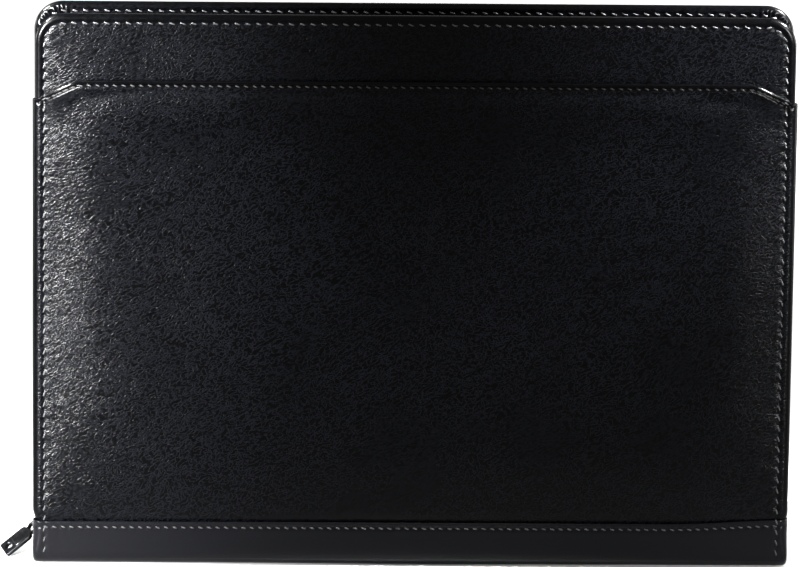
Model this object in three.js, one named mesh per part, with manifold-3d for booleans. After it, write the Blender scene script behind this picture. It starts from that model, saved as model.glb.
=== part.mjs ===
// Zippered portfolio in black leather: two padded covers, joined by a spine band and closed by a zip.
// Millimetres, +Z up. The case stands on its spine with the front cover towards -Y, and the origin is
// the middle of the flat foot that it rests on.
import * as THREE from "three";
import { mergeVertices } from "three/addons/utils/BufferGeometryUtils.js";
import Module from "manifold-3d";

const wasm = await Module();
wasm.setup();

// Case: overall sizes, measured over the pocket and the spine band
const CASE_WIDTH = 343;
const CASE_HEIGHT = 254;
const CORNER_RADIUS = 13;
const LEAST_RADIUS = 1.5;

// Leather: one layer, and the gap that keeps two layers apart
const LEATHER = 1;
const LAYER_GAP = 0.25;
const LAP = LEATHER + LAYER_GAP;

// Covers: depth is measured from the middle plane of the zip to the face beside the rim
const FRONT_DEPTH = 17;
const BACK_DEPTH = 18;
const RIM_THICKNESS = 4;
const STITCH_INSET = 4.2;
const STITCH_SINK = 0.3;
const CROWN = 2;
const CROWN_REACH = 34;
const COVER_FOOT = 10;
const HEM_INSET = 9;
const HEM_STEP = 0.8;
const GATHER_DEPTH = 0.5;
const CORNER_STEPS = 16;

// Spine band: a channel whose flanges lap over the feet of the pocket and of the back cover
const BAND_TOP = 20.8;
const BAND_ROLL = 6.5;
const BAND_ROLL_STEPS = 4;
const BAND_END_ROLL = 2.2;
const BAND_DIP = 4;
const BAND_END_COLUMNS = [12, 60];

// Front pocket: its mouth is level in the middle and slants down to the rims
const POCKET_TOP = 225;
const SLANT_START = 151.5;
const SLANT_SLOPE = 0.5;
const SLANT_ROUNDING = 5;
const WRAP_INSET = 4.6;

// Zip: tape inset is measured from the front cover's outline to the outer side of the tape
const TAPE_INSET = 5;
const TAPE_THICKNESS = 0.8;
const TAPE_FLANGE_INSET = 11.5;
const TAPE_BEND = 0.8;
const TAPE_GAP = 0.3;
const TAPE_EDGE = 3;
const TAPE_CORNER_STEPS = 8;
const TAPE_FOOT = 1.6;
const TAPE_PART = 0.8;
const CHAIN_FOOT = 6;
const ZIP_WAIST = 120;
const COIL_HALF_WIDTH = 2.7;
const COIL_HALF_HEIGHT = 1.1;
const COIL_GAP = 0.15;
const COIL_FULLNESS = 0.6;

// Slider: stands on the left run of the zip, its nose towards the spine
const SLIDER_HEIGHT = 14.3;
const SLIDER_LENGTH = 11;
const SLIDER_HALF_HEAD = 3.9;
const SLIDER_HALF_NOSE = 4.8;
const SLIDER_PLATE = 1.2;
const SLIDER_CLEARANCE = 0.3;
const SLIDER_RAIL = 0.9;
const SLIDER_HEAD_ROUND = 1.8;
const SLIDER_NOSE_ROUND = 2.8;
const CHANNEL_OVERRUN = 8;
const POST_LENGTH = 3;
const POST_HALF_NOSE = 1.3;
const POST_HALF_TIP = 0.4;
const POST_SETBACK = 0.3;
const POST_ROOT = 0.2;
const SLIDER_FOOT = SLIDER_HEIGHT - SLIDER_LENGTH / 2;
const COIL_END = SLIDER_HEIGHT - 1.6;
const CROWN_HALF_LENGTH = 4.2;
const CROWN_RISE = 4.7;
const CROWN_BAR = 1.1;
const CROWN_WIDTH = 1.3;

// Pull: a flat tab whose eye hangs in the slider's crown; it points left and down, its face to the front
const PULL_LENGTH = 20.4;
const PULL_WIDTH = 8.2;
const PULL_THICKNESS = 2.1;
const PULL_BEVEL = 0.35;
const PULL_CORNER = 1;
const PULL_SHOULDER = 8;
const PULL_NECK = 3.4;
const PULL_FLARE = 2.4;
const EYE_RADIUS = 3.4;
const EYE_HOLE = 2.2;
const EYE_CENTRE = 2.7;
const DROP_CENTRE = 16.7;
const DROP_RADIUS = 1.3;
const DROP_POINT = 2.6;
const PANEL_START = 8.8;
const PANEL_END = 14.2;
const PANEL_WIDTH = 6.4;
const PANEL_RISE = 0.3;
const PULL_YAW = THREE.MathUtils.degToRad(10);
const PULL_PITCH = THREE.MathUtils.degToRad(38);
const PULL_TWIST = THREE.MathUtils.degToRad(-27);
const PULL_REACH = 4.2;
const PULL_BACK = 0.5;
const PULL_DROP = -0.4;

const COVERS = {
  front: { side: -1, halfWidth: CASE_WIDTH / 2 - LAP, depth: FRONT_DEPTH },
  back: { side: 1, halfWidth: CASE_WIDTH / 2, depth: BACK_DEPTH },
};
const ZIP_HALF_WIDTH = COVERS.front.halfWidth;

// Heights of the rows over the foot of a cover, from its lower edge through the dip above the band
const FOOT_HEIGHTS = [COVER_FOOT, 15, BAND_TOP + 0.2, BAND_TOP + 2.1, BAND_TOP + BAND_DIP, 31, 41, 58];
const SIDE_SHARES = [1 / 3, 2 / 3];

// Section of a cover from the middle of its face, over the rolled rim, to the middle of its inside
const FACE = [38, 29, 22.5, 17.5, 13, 9, 6.2, STITCH_INSET].map((inset) => ({ inset }));
const ROLL = [90, 45, 0, -45, -90].map((degrees) => ({ angle: THREE.MathUtils.degToRad(degrees) }));
const HEM = [
  { inset: 5.5, inside: 0, gather: 0.6 },
  { inset: HEM_INSET, inside: 0, gather: 1 },
  { inset: HEM_INSET + 0.4, inside: HEM_STEP, gather: 0 },
  { inset: 38, inside: HEM_STEP, gather: 0 },
];

// Rows of the pocket's folded mouth: drop below the edge, gap behind it and thickness of the fold
const MOUTH_ROWS = [
  { drop: 7, gap: LAYER_GAP, thickness: LEATHER },
  { drop: 5.8, gap: 0.3, thickness: 1.6 },
  { drop: 0.6, gap: 0.5, thickness: 1.6 },
  { drop: 0, gap: 0.7, thickness: 1.1 },
];

/** A share from 0 to 1 that rises steeply at first and levels off. */
function levelOff(value) {
  const share = THREE.MathUtils.clamp(value, 0, 1);
  return 1 - (1 - share) ** 2;
}

/** How far the leather is let in under the spine band at a height. */
function setbackAt(z) {
  return LAP * (1 - THREE.MathUtils.smoothstep(z, BAND_TOP + 0.2, BAND_TOP + BAND_DIP));
}

/** Rise of the padded face above the rim at an inset and a height. */
function crownAt(inset, z) {
  const fromRim = levelOff((inset - STITCH_INSET) / CROWN_REACH);
  const fromBand = levelOff((z - BAND_TOP - BAND_DIP) / CROWN_REACH);
  return CROWN * fromRim * fromBand;
}

/** Inset and depth of one place in a cover's section at a height, lifted off the leather. */
function sectionPoint(cover, place, z, lift) {
  const setback = setbackAt(z);
  const radius = (RIM_THICKNESS - setback) / 2;
  if (place.angle !== undefined) {
    const inset = setback + radius - (radius + lift) * Math.cos(place.angle);
    const depth = cover.depth - setback - radius + (radius + lift) * Math.sin(place.angle);
    return { inset, depth };
  }
  if (place.inside !== undefined) {
    return { inset: place.inset, depth: cover.depth - RIM_THICKNESS + place.inside - lift };
  }
  const sink = place.inset === STITCH_INSET ? STITCH_SINK : 0;
  const face = cover.depth - setback - sink + crownAt(place.inset, z);
  return { inset: place.inset, depth: face + lift };
}

/** Outline at an inset, as [x, z] points up the left side, over the top and down the right side. */
function outline(halfWidth, inset, { left, right = left, shares = [], steps }) {
  const radius = Math.max(CORNER_RADIUS - inset, LEAST_RADIUS);
  const sideX = halfWidth - inset;
  const cornerX = sideX - radius;
  const cornerZ = CASE_HEIGHT - inset - radius;
  const half = (sign, heights) => {
    const lastHeight = heights[heights.length - 1];
    const points = heights.map((z) => [sign * sideX, z]);
    for (const share of shares) {
      points.push([sign * sideX, THREE.MathUtils.lerp(lastHeight, cornerZ, share)]);
    }
    for (let step = 0; step <= steps; step += 1) {
      const angle = (step / steps) * (Math.PI / 2);
      points.push([sign * (cornerX + radius * Math.cos(angle)), cornerZ + radius * Math.sin(angle)]);
    }
    return points;
  };
  return [...half(-1, left), ...half(1, right).reverse()];
}

/** Geometry from points and triangles, turned so that its faces point outwards. */
function closedGeometry(points, triangles) {
  let volume = 0;
  for (const [a, b, c] of triangles) {
    volume += new THREE.Vector3(...points[a]).dot(
      new THREE.Vector3(...points[b]).cross(new THREE.Vector3(...points[c])),
    );
  }
  const outward = volume > 0 ? triangles : triangles.map(([a, b, c]) => [a, c, b]);
  const geometry = new THREE.BufferGeometry();
  geometry.setAttribute("position", new THREE.Float32BufferAttribute(points.flat(), 3));
  geometry.setIndex(outward.flat());
  geometry.computeVertexNormals();
  return geometry;
}

/** Two triangles of a quad whose corners follow each other round its edge. */
function quad(a, b, c, d) {
  return [[a, b, c], [a, c, d]];
}

/** A closed sheet between two grids of points, given as rows that match each other. */
function sheetGeometry(outer, inner) {
  const rows = outer.length;
  const columns = outer[0].length;
  const points = [...outer.flat(), ...inner.flat()];
  const at = (layer, row, column) => (layer * rows + row) * columns + column;
  const triangles = [];
  for (let row = 0; row < rows - 1; row += 1) {
    for (let column = 0; column < columns - 1; column += 1) {
      const corners = (layer) => [
        at(layer, row, column),
        at(layer, row, column + 1),
        at(layer, row + 1, column + 1),
        at(layer, row + 1, column),
      ];
      triangles.push(...quad(...corners(0)), ...quad(...corners(1).reverse()));
    }
    const last = columns - 1;
    triangles.push(...quad(at(0, row, 0), at(0, row + 1, 0), at(1, row + 1, 0), at(1, row, 0)));
    triangles.push(...quad(at(0, row + 1, last), at(0, row, last), at(1, row, last), at(1, row + 1, last)));
  }
  for (let column = 0; column < columns - 1; column += 1) {
    const last = rows - 1;
    const next = column + 1;
    triangles.push(...quad(at(0, 0, next), at(0, 0, column), at(1, 0, column), at(1, 0, next)));
    triangles.push(...quad(at(0, last, column), at(0, last, next), at(1, last, next), at(1, last, column)));
  }
  return closedGeometry(points, triangles);
}

/** A closed bar through convex section loops that match each other. */
function barGeometry(loops) {
  const sides = loops[0].length;
  const at = (loop, side) => loop * sides + (side % sides);
  const triangles = [];
  for (let loop = 0; loop < loops.length - 1; loop += 1) {
    for (let side = 0; side < sides; side += 1) {
      const next = side + 1;
      triangles.push(...quad(at(loop, side), at(loop, next), at(loop + 1, next), at(loop + 1, side)));
    }
  }
  const last = loops.length - 1;
  for (let side = 1; side < sides - 1; side += 1) {
    triangles.push([at(0, 0), at(0, side + 1), at(0, side)]);
    triangles.push([at(last, 0), at(last, side), at(last, side + 1)]);
  }
  return closedGeometry(loops.flat(), triangles);
}

/** Share of the gather's depth at a station: alternate steps round each top corner are sunk. */
function gatherAt(station, stations) {
  const fromFoot = Math.min(station, stations - 1 - station);
  const step = fromFoot - FOOT_HEIGHTS.length - SIDE_SHARES.length;
  return step > 0 && step % 2 === 1 ? 1 : 0;
}

/** One padded cover with its rolled rim and turned hem, gathered round the top corners. */
function coverGeometry(cover) {
  const section = [...FACE, ...ROLL, ...HEM];
  const layout = { left: FOOT_HEIGHTS, shares: SIDE_SHARES, steps: CORNER_STEPS };
  const stations = outline(cover.halfWidth, 0, layout);
  const count = stations.length;
  const points = [];
  for (const place of section) {
    stations.forEach(([, height], station) => {
      const { inset, depth } = sectionPoint(cover, place, height, 0);
      const [x, z] = outline(cover.halfWidth, inset, layout)[station];
      const gather = (place.gather ?? 0) * GATHER_DEPTH * gatherAt(station, count);
      points.push([x, cover.side * (depth + gather), z]);
    });
  }
  const at = (ring, station) => ring * count + station;
  const triangles = [];
  for (let ring = 0; ring < section.length - 1; ring += 1) {
    for (let station = 0; station < count - 1; station += 1) {
      triangles.push(
        ...quad(at(ring, station), at(ring, station + 1), at(ring + 1, station + 1), at(ring + 1, station)),
      );
    }
  }
  const inside = section.length - 1;
  for (let station = 0; station < count / 2 - 1; station += 1) {
    const mirror = count - 1 - station;
    triangles.push(...quad(at(0, station + 1), at(0, station), at(0, mirror), at(0, mirror - 1)));
    triangles.push(
      ...quad(at(inside, station), at(inside, station + 1), at(inside, mirror - 1), at(inside, mirror)),
    );
  }
  const foot = [
    ...section.map((_, ring) => at(ring, 0)),
    ...section.map((_, ring) => at(inside - ring, count - 1)),
  ];
  const contour = foot.map((index) => new THREE.Vector2(points[index][0], points[index][1]));
  const clockwise = THREE.ShapeUtils.isClockWise(contour);
  for (const face of THREE.ShapeUtils.triangulateShape(contour, [])) {
    const corners = face.map((index) => foot[index]);
    triangles.push(clockwise ? corners.reverse() : corners);
  }
  return closedGeometry(points, triangles);
}

/** Height of the pocket's mouth at a distance from the middle. */
function pocketTop(x) {
  const past = Math.abs(x) - SLANT_START;
  if (past <= -SLANT_ROUNDING) {
    return POCKET_TOP;
  }
  const ramp = past >= SLANT_ROUNDING ? past : (past + SLANT_ROUNDING) ** 2 / (4 * SLANT_ROUNDING);
  return POCKET_TOP - SLANT_SLOPE * ramp;
}

/** The slip pocket: one layer over the front cover, wrapped round both side rims, with a folded mouth. */
function pocketGeometry() {
  const cover = COVERS.front;
  const wrapEnd = { inset: WRAP_INSET, inside: 0 };
  const across = [wrapEnd, ...[...FACE, ...ROLL].reverse()];
  const columns = [
    ...across.map((place) => ({ place, sign: -1 })),
    ...across.map((place) => ({ place, sign: 1 })).reverse(),
  ];
  const lastFoot = FOOT_HEIGHTS[FOOT_HEIGHTS.length - 1];
  const rows = [
    ...FOOT_HEIGHTS.map((height) => ({ height, gap: LAYER_GAP, thickness: LEATHER })),
    ...SIDE_SHARES.map((share) => ({ share, gap: LAYER_GAP, thickness: LEATHER })),
    ...MOUTH_ROWS,
  ];
  const sewn = { gap: LAYER_GAP, thickness: LEATHER };
  const grid = (share) => rows.map((row) => columns.map(({ place, sign }) => {
    const free = place.inset > STITCH_INSET && place.inside === undefined;
    const { gap, thickness } = free ? row : sewn;
    const edge = sectionPoint(cover, place, CASE_HEIGHT, LAP);
    const top = pocketTop(cover.halfWidth - (place.inside === undefined ? edge.inset : 0));
    const upper = row.share === undefined
      ? top - row.drop
      : THREE.MathUtils.lerp(lastFoot, top - MOUTH_ROWS[0].drop, row.share);
    const z = row.height ?? upper;
    const { inset, depth } = sectionPoint(cover, place, z, gap + share * thickness);
    return [sign * (cover.halfWidth - inset), cover.side * depth, z];
  }));
  return sheetGeometry(grid(1), grid(0));
}

/** Rows round the spine band's channel: a point outside, the way inwards and the roll of its ends. */
function bandRows() {
  const frontFace = -(FRONT_DEPTH + LAP);
  const backFace = BACK_DEPTH;
  const coverRoll = (RIM_THICKNESS - LAP) / 2;
  const heights = [BAND_TOP, 15, COVER_FOOT - LAYER_GAP];
  const rows = heights.map((z) => ({ y: frontFace, z, inY: 1, inZ: 0, roll: coverRoll + 2 * LAP }));
  const corner = (centreY, from) => {
    for (let step = 0; step <= BAND_ROLL_STEPS; step += 1) {
      const angle = from + (step / BAND_ROLL_STEPS) * (Math.PI / 2);
      const y = centreY + BAND_ROLL * Math.cos(angle);
      const z = BAND_ROLL + BAND_ROLL * Math.sin(angle);
      rows.push({ y, z, inY: -Math.cos(angle), inZ: -Math.sin(angle), roll: BAND_END_ROLL });
    }
  };
  corner(frontFace + BAND_ROLL, Math.PI);
  corner(backFace - BAND_ROLL, 1.5 * Math.PI);
  rows.push(...heights.reverse().map((z) => ({ y: backFace, z, inY: -1, inZ: 0, roll: coverRoll + LAP })));
  return rows;
}

/** The spine band: one layer bent into a channel, its two ends rolled in round the side rims. */
function bandGeometry() {
  const hemEnd = WRAP_INSET + LAP;
  const acrossBand = (roll, deep) => [
    { end: hemEnd, deep: 2 * roll - deep },
    ...[...ROLL].reverse().map(({ angle }) => ({
      end: roll - (roll - deep) * Math.cos(angle),
      deep: roll - (roll - deep) * Math.sin(angle),
    })),
    ...BAND_END_COLUMNS.map((end) => ({ end, deep })),
  ];
  const rows = bandRows();
  const grid = (deep) => rows.map((row) => {
    const half = (sign) => acrossBand(row.roll, deep).map((place) => [
      sign * (CASE_WIDTH / 2 - place.end),
      row.y + row.inY * place.deep,
      row.z + row.inZ * place.deep,
    ]);
    return [...half(-1), ...half(1).reverse()];
  });
  return sheetGeometry(grid(0), grid(LEATHER));
}

/** Depth of a tape's free edge: below the ends of the zip chain the two tapes are drawn together. */
function tapeEdge(x, z) {
  const chainEnd = x < 0 ? SLIDER_FOOT : CHAIN_FOOT;
  return z > chainEnd - TAPE_PART ? TAPE_EDGE : COIL_GAP;
}

/** A zip tape: a flange sewn to the hem of a cover, bent out to the run that carries the coil. */
function tapeGeometry(cover) {
  const heights = (chainEnd) => [TAPE_FOOT, chainEnd - TAPE_PART, chainEnd - TAPE_GAP, ZIP_WAIST];
  const layout = { left: heights(SLIDER_FOOT), right: heights(CHAIN_FOOT), steps: TAPE_CORNER_STEPS };
  const bendInset = TAPE_INSET + TAPE_THICKNESS + TAPE_BEND;
  const bendDepth = cover.depth - RIM_THICKNESS - TAPE_GAP - TAPE_THICKNESS - TAPE_BEND;
  const section = (radius) => [
    { inset: TAPE_FLANGE_INSET, depth: bendDepth + radius },
    ...[90, 135, 180].map(THREE.MathUtils.degToRad).map((angle) => ({
      inset: bendInset + radius * Math.cos(angle),
      depth: bendDepth + radius * Math.sin(angle),
    })),
    { inset: bendInset - radius },
  ];
  const grid = (radius) => section(radius).map(({ inset, depth }) => (
    outline(ZIP_HALF_WIDTH, inset, layout).map(([x, z]) => (
      [x, cover.side * (depth ?? tapeEdge(x, z)), z]
    ))
  ));
  return sheetGeometry(grid(TAPE_BEND + TAPE_THICKNESS), grid(TAPE_BEND));
}

/** Half of the closed zip chain: a rounded bar from the slider round to the right end of the zip. */
function coilGeometry(side) {
  const ends = { left: [COIL_END, ZIP_WAIST], right: [CHAIN_FOOT, ZIP_WAIST] };
  const layout = { ...ends, steps: TAPE_CORNER_STEPS };
  const middle = TAPE_INSET + TAPE_THICKNESS / 2;
  const width = COIL_HALF_WIDTH - COIL_GAP;
  const section = ROLL.map(({ angle }) => ({
    inset: middle + COIL_HALF_HEIGHT * Math.sin(angle),
    depth: COIL_GAP + width * Math.cos(angle) ** COIL_FULLNESS,
  }));
  const runs = section.map(({ inset, depth }) => (
    outline(ZIP_HALF_WIDTH, inset, layout).map(([x, z]) => [x, side * depth, z])
  ));
  const loops = runs[0].map((_, station) => runs.map((run) => run[station]));
  return barGeometry(loops);
}

/** A solid for joining and cutting, from a closed geometry. */
function solidOf(geometry) {
  const bare = geometry.clone();
  bare.deleteAttribute("normal");
  bare.deleteAttribute("uv");
  const merged = mergeVertices(bare, 1e-4);
  const vertProperties = new Float32Array(merged.attributes.position.array);
  const triVerts = new Uint32Array(merged.index.array);
  return new wasm.Manifold(new wasm.Mesh({ numProp: 3, vertProperties, triVerts }));
}

/** Geometry of a joined or cut solid. */
function geometryOf(solid) {
  const { vertProperties, triVerts } = solid.getMesh();
  const geometry = new THREE.BufferGeometry();
  geometry.setAttribute("position", new THREE.BufferAttribute(vertProperties, 3));
  geometry.setIndex(new THREE.BufferAttribute(triVerts, 1));
  geometry.computeVertexNormals();
  return geometry;
}

/** A shape extruded from one distance to another along the last of three axes. */
function slab(shape, from, to, [acrossAxis, upAxis, alongAxis], bevel = 0) {
  const geometry = new THREE.ExtrudeGeometry(shape, {
    depth: to - from - 2 * bevel,
    curveSegments: 6,
    bevelEnabled: bevel > 0,
    bevelThickness: bevel,
    bevelSize: bevel,
    bevelOffset: -bevel,
    bevelSegments: 1,
  });
  geometry.translate(0, 0, from + bevel);
  return geometry.applyMatrix4(new THREE.Matrix4().makeBasis(acrossAxis, upAxis, alongAxis));
}

const AXIS_X = new THREE.Vector3(1, 0, 0);
const AXIS_Y = new THREE.Vector3(0, 1, 0);
const AXIS_Z = new THREE.Vector3(0, 0, 1);

/** The slider's plan, across the tape and along it, narrowed all round by a margin. */
function sliderPlan(margin, length) {
  const head = SLIDER_HALF_HEAD - margin;
  const nose = SLIDER_HALF_NOSE - margin;
  const end = length / 2;
  const headTurn = end - SLIDER_HEAD_ROUND;
  const noseTurn = -end + SLIDER_NOSE_ROUND;
  const plan = new THREE.Shape();
  plan.moveTo(-head + SLIDER_HEAD_ROUND, end);
  plan.lineTo(head - SLIDER_HEAD_ROUND, end);
  plan.quadraticCurveTo(head, end, head, headTurn);
  plan.lineTo(nose, noseTurn);
  plan.quadraticCurveTo(nose, -end, nose - SLIDER_NOSE_ROUND, -end);
  plan.lineTo(-nose + SLIDER_NOSE_ROUND, -end);
  plan.quadraticCurveTo(-nose, -end, -nose, noseTurn);
  plan.lineTo(-head, headTurn);
  plan.quadraticCurveTo(-head, end, -head + SLIDER_HEAD_ROUND, end);
  return plan;
}

/** The crown: an arch along the slider that the pull's eye hangs in, standing on a base height. */
function crownArch(base) {
  const arch = new THREE.Shape();
  arch.moveTo(-CROWN_HALF_LENGTH, base - SLIDER_PLATE / 2);
  arch.lineTo(CROWN_HALF_LENGTH, base - SLIDER_PLATE / 2);
  arch.lineTo(CROWN_HALF_LENGTH, base);
  arch.absellipse(0, base, CROWN_HALF_LENGTH, CROWN_RISE, 0, Math.PI, false, 0);
  const eye = new THREE.Path();
  eye.absellipse(0, base, CROWN_HALF_LENGTH - CROWN_BAR, CROWN_RISE - CROWN_BAR, 0, Math.PI, false, 0);
  eye.lineTo(-CROWN_HALF_LENGTH + CROWN_BAR, base - SLIDER_PLATE / 4);
  eye.lineTo(CROWN_HALF_LENGTH - CROWN_BAR, base - SLIDER_PLATE / 4);
  arch.holes.push(eye);
  return arch;
}

/** The slider: two plates with rails that run on the tapes, a wedge post at the nose and a crown. */
function sliderGeometry() {
  const axes = [AXIS_Y, AXIS_Z, AXIS_X];
  const plateFace = COIL_HALF_HEIGHT + SLIDER_CLEARANCE;
  const plateBack = plateFace + SLIDER_PLATE;
  const railFace = TAPE_THICKNESS / 2 + SLIDER_CLEARANCE;
  const plan = sliderPlan(0, SLIDER_LENGTH);
  const channel = sliderPlan(SLIDER_RAIL, SLIDER_LENGTH + CHANNEL_OVERRUN);
  const post = new THREE.Shape();
  const nose = -SLIDER_LENGTH / 2 + POST_SETBACK;
  post.moveTo(-POST_HALF_NOSE, nose);
  post.lineTo(POST_HALF_NOSE, nose);
  post.lineTo(POST_HALF_TIP, nose + POST_LENGTH);
  post.lineTo(-POST_HALF_TIP, nose + POST_LENGTH);
  const body = solidOf(slab(plan, railFace, plateBack, axes))
    .add(solidOf(slab(plan, -plateBack, -railFace, axes)))
    .subtract(solidOf(slab(channel, -plateFace, plateFace, axes)))
    .add(solidOf(slab(post, -plateFace - POST_ROOT, plateFace + POST_ROOT, axes)));
  const archAxes = [AXIS_Z, AXIS_X, AXIS_Y];
  const arch = solidOf(slab(crownArch(plateBack), -CROWN_WIDTH / 2, CROWN_WIDTH / 2, archAxes));
  return geometryOf(body.add(arch));
}

/** The pull's plan, from its eye along its length, with the eye and a drop-shaped hole cut out. */
function pullPlan() {
  const half = PULL_WIDTH / 2;
  const flare = PULL_SHOULDER - PULL_FLARE;
  const neckAngle = Math.asin(PULL_NECK / 2 / EYE_RADIUS);
  const plan = new THREE.Shape();
  plan.absarc(EYE_CENTRE, 0, EYE_RADIUS, neckAngle, 2 * Math.PI - neckAngle, false);
  plan.lineTo(flare, -PULL_NECK / 2);
  plan.quadraticCurveTo(flare, -half, PULL_SHOULDER, -half);
  plan.lineTo(PULL_LENGTH - PULL_CORNER, -half);
  plan.quadraticCurveTo(PULL_LENGTH, -half, PULL_LENGTH, -half + PULL_CORNER);
  plan.lineTo(PULL_LENGTH, half - PULL_CORNER);
  plan.quadraticCurveTo(PULL_LENGTH, half, PULL_LENGTH - PULL_CORNER, half);
  plan.lineTo(PULL_SHOULDER, half);
  plan.quadraticCurveTo(flare, half, flare, PULL_NECK / 2);
  const eye = new THREE.Path();
  eye.absarc(EYE_CENTRE, 0, EYE_HOLE, 0, 2 * Math.PI, true);
  const drop = new THREE.Path();
  drop.absarc(DROP_CENTRE, 0, DROP_RADIUS, -Math.PI / 3, Math.PI / 3, true);
  drop.lineTo(DROP_CENTRE + DROP_POINT, 0);
  plan.holes.push(eye, drop);
  return plan;
}

/** The pull: a bevelled tab with a raised panel on its broad face. */
function pullGeometry() {
  const axes = [AXIS_X, AXIS_Y, AXIS_Z];
  const half = PULL_THICKNESS / 2;
  const panel = new THREE.Shape();
  panel.moveTo(PANEL_START, -PANEL_WIDTH / 2);
  panel.lineTo(PANEL_END, -PANEL_WIDTH / 2);
  panel.lineTo(PANEL_END, PANEL_WIDTH / 2);
  panel.lineTo(PANEL_START, PANEL_WIDTH / 2);
  const tab = solidOf(slab(pullPlan(), -half, half, axes, PULL_BEVEL));
  return geometryOf(tab.add(solidOf(slab(panel, 0, half + PANEL_RISE, axes, PANEL_RISE / 2))));
}

const BLACK_LEATHER = { color: 0x141416, roughness: 0.42, metalness: 0 };
const BLACK_TAPE = { color: 0x0c0c0d, roughness: 0.85, metalness: 0 };
const BLACK_NYLON = { color: 0x101011, roughness: 0.5, metalness: 0 };
const DARK_METAL = { color: 0x3a3b3d, roughness: 0.32, metalness: 1 };

/** A named mesh with a finish of its own. */
function piece(name, geometry, finish) {
  const mesh = new THREE.Mesh(geometry, new THREE.MeshStandardMaterial(finish));
  mesh.name = name;
  return mesh;
}

const portfolio = new THREE.Group();
portfolio.add(
  piece("front_cover", coverGeometry(COVERS.front), BLACK_LEATHER),
  piece("front_pocket", pocketGeometry(), BLACK_LEATHER),
  piece("spine_band", bandGeometry(), BLACK_LEATHER),
  piece("back_cover", coverGeometry(COVERS.back), BLACK_LEATHER),
  piece("zip_tape_front", tapeGeometry(COVERS.front), BLACK_TAPE),
  piece("zip_tape_back", tapeGeometry(COVERS.back), BLACK_TAPE),
  piece("zip_coil_front", coilGeometry(COVERS.front.side), BLACK_NYLON),
  piece("zip_coil_back", coilGeometry(COVERS.back.side), BLACK_NYLON),
);

// The slider faces left, out of the case, and the pull swings on the bar of its eye inside the crown.
const slider = piece("zip_slider", sliderGeometry(), DARK_METAL);
slider.rotation.z = Math.PI;
slider.position.set(TAPE_INSET + TAPE_THICKNESS / 2 - ZIP_HALF_WIDTH, 0, SLIDER_HEIGHT);
portfolio.add(slider);

const pull = piece("zip_pull", pullGeometry(), DARK_METAL);
pull.rotation.set(PULL_TWIST, PULL_PITCH, Math.PI + PULL_YAW, "ZYX");
pull.position.set(slider.position.x - PULL_REACH, PULL_BACK, SLIDER_HEIGHT - PULL_DROP);
portfolio.add(pull);

export default portfolio;
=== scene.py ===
"""Dress the zippered portfolio: padded leather, stitching, zip, metal, and the studio that it stands in."""

import logging
import math
from collections.abc import Callable, Sequence
from dataclasses import dataclass
from enum import Enum
from typing import Any

import bpy
import numpy as np
from mathutils import Matrix, Vector
from mathutils.bvhtree import BVHTree


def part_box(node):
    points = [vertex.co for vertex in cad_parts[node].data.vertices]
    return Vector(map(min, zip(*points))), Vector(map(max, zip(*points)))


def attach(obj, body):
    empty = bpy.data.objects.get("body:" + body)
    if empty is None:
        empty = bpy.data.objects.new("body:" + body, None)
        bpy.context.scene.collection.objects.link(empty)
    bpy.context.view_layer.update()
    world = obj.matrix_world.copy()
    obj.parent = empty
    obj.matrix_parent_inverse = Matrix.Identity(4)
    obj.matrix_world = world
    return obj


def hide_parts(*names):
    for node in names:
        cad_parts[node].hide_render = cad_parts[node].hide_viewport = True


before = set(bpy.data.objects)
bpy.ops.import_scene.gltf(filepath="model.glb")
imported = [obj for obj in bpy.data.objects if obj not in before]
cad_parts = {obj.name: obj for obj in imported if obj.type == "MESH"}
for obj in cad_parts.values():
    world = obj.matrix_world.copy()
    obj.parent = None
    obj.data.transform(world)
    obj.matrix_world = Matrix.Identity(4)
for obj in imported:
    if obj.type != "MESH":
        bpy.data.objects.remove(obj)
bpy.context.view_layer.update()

LOG = logging.getLogger("portfolio")
MM = 0.001  # sizes of the pieces are in millimetres, and their meshes in metres
Colour = tuple[float, float, float]  # linear red, green and blue


class Side(Enum):
    """A cover's side of the case, as the sign of its Y."""

    FRONT = -1
    BACK = 1


class Body(Enum):
    """The bodies that pieces ride on."""

    CASE = "case"
    PULL = "pull"


class Slot(Enum):
    """Names of the material slots."""

    LEATHER = "leather"
    TAPE = "zip_tape"
    TEETH = "zip_coil"
    METAL = "zip_metal"


def smoothstep(value: np.ndarray | float, low: float, high: float) -> np.ndarray:
    """Ease from 0 at low to 1 at high.

    Args:
        value: The numbers to ease.
        low: Where the result leaves 0.
        high: Where the result reaches 1.

    Returns:
        The eased numbers.
    """
    share = np.clip((np.asarray(value, float) - low) / (high - low), 0.0, 1.0)
    return share * share * (3.0 - 2.0 * share)


def level_off(value: np.ndarray | float) -> np.ndarray:
    """Rise steeply from 0 and level off at 1."""
    return 1.0 - (1.0 - np.clip(np.asarray(value, float), 0.0, 1.0)) ** 2


def sheet_columns(core_x: float, spacing: float, marks: int) -> tuple[np.ndarray, np.ndarray, np.ndarray]:
    """Columns of a sheet whose two sides are folded over a rim.

    Args:
        core_x: Half width of the core between the folds.
        spacing: Distance between the core's columns.
        marks: Columns on each folded side.

    Returns:
        Each column's mark, 0 on the core and rising outwards, its X, and the sign of its side.
    """
    core = np.linspace(-core_x, core_x, 2 * int(round(core_x / spacing)) + 1)
    edge = np.arange(1, marks + 1)
    mark = np.concatenate([edge[::-1], np.zeros(len(core), int), edge])
    x = np.concatenate([np.full(marks, -core_x), core, np.full(marks, core_x)])
    return mark, x, np.where(np.arange(len(x)) < len(x) // 2, -1.0, 1.0)


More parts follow.
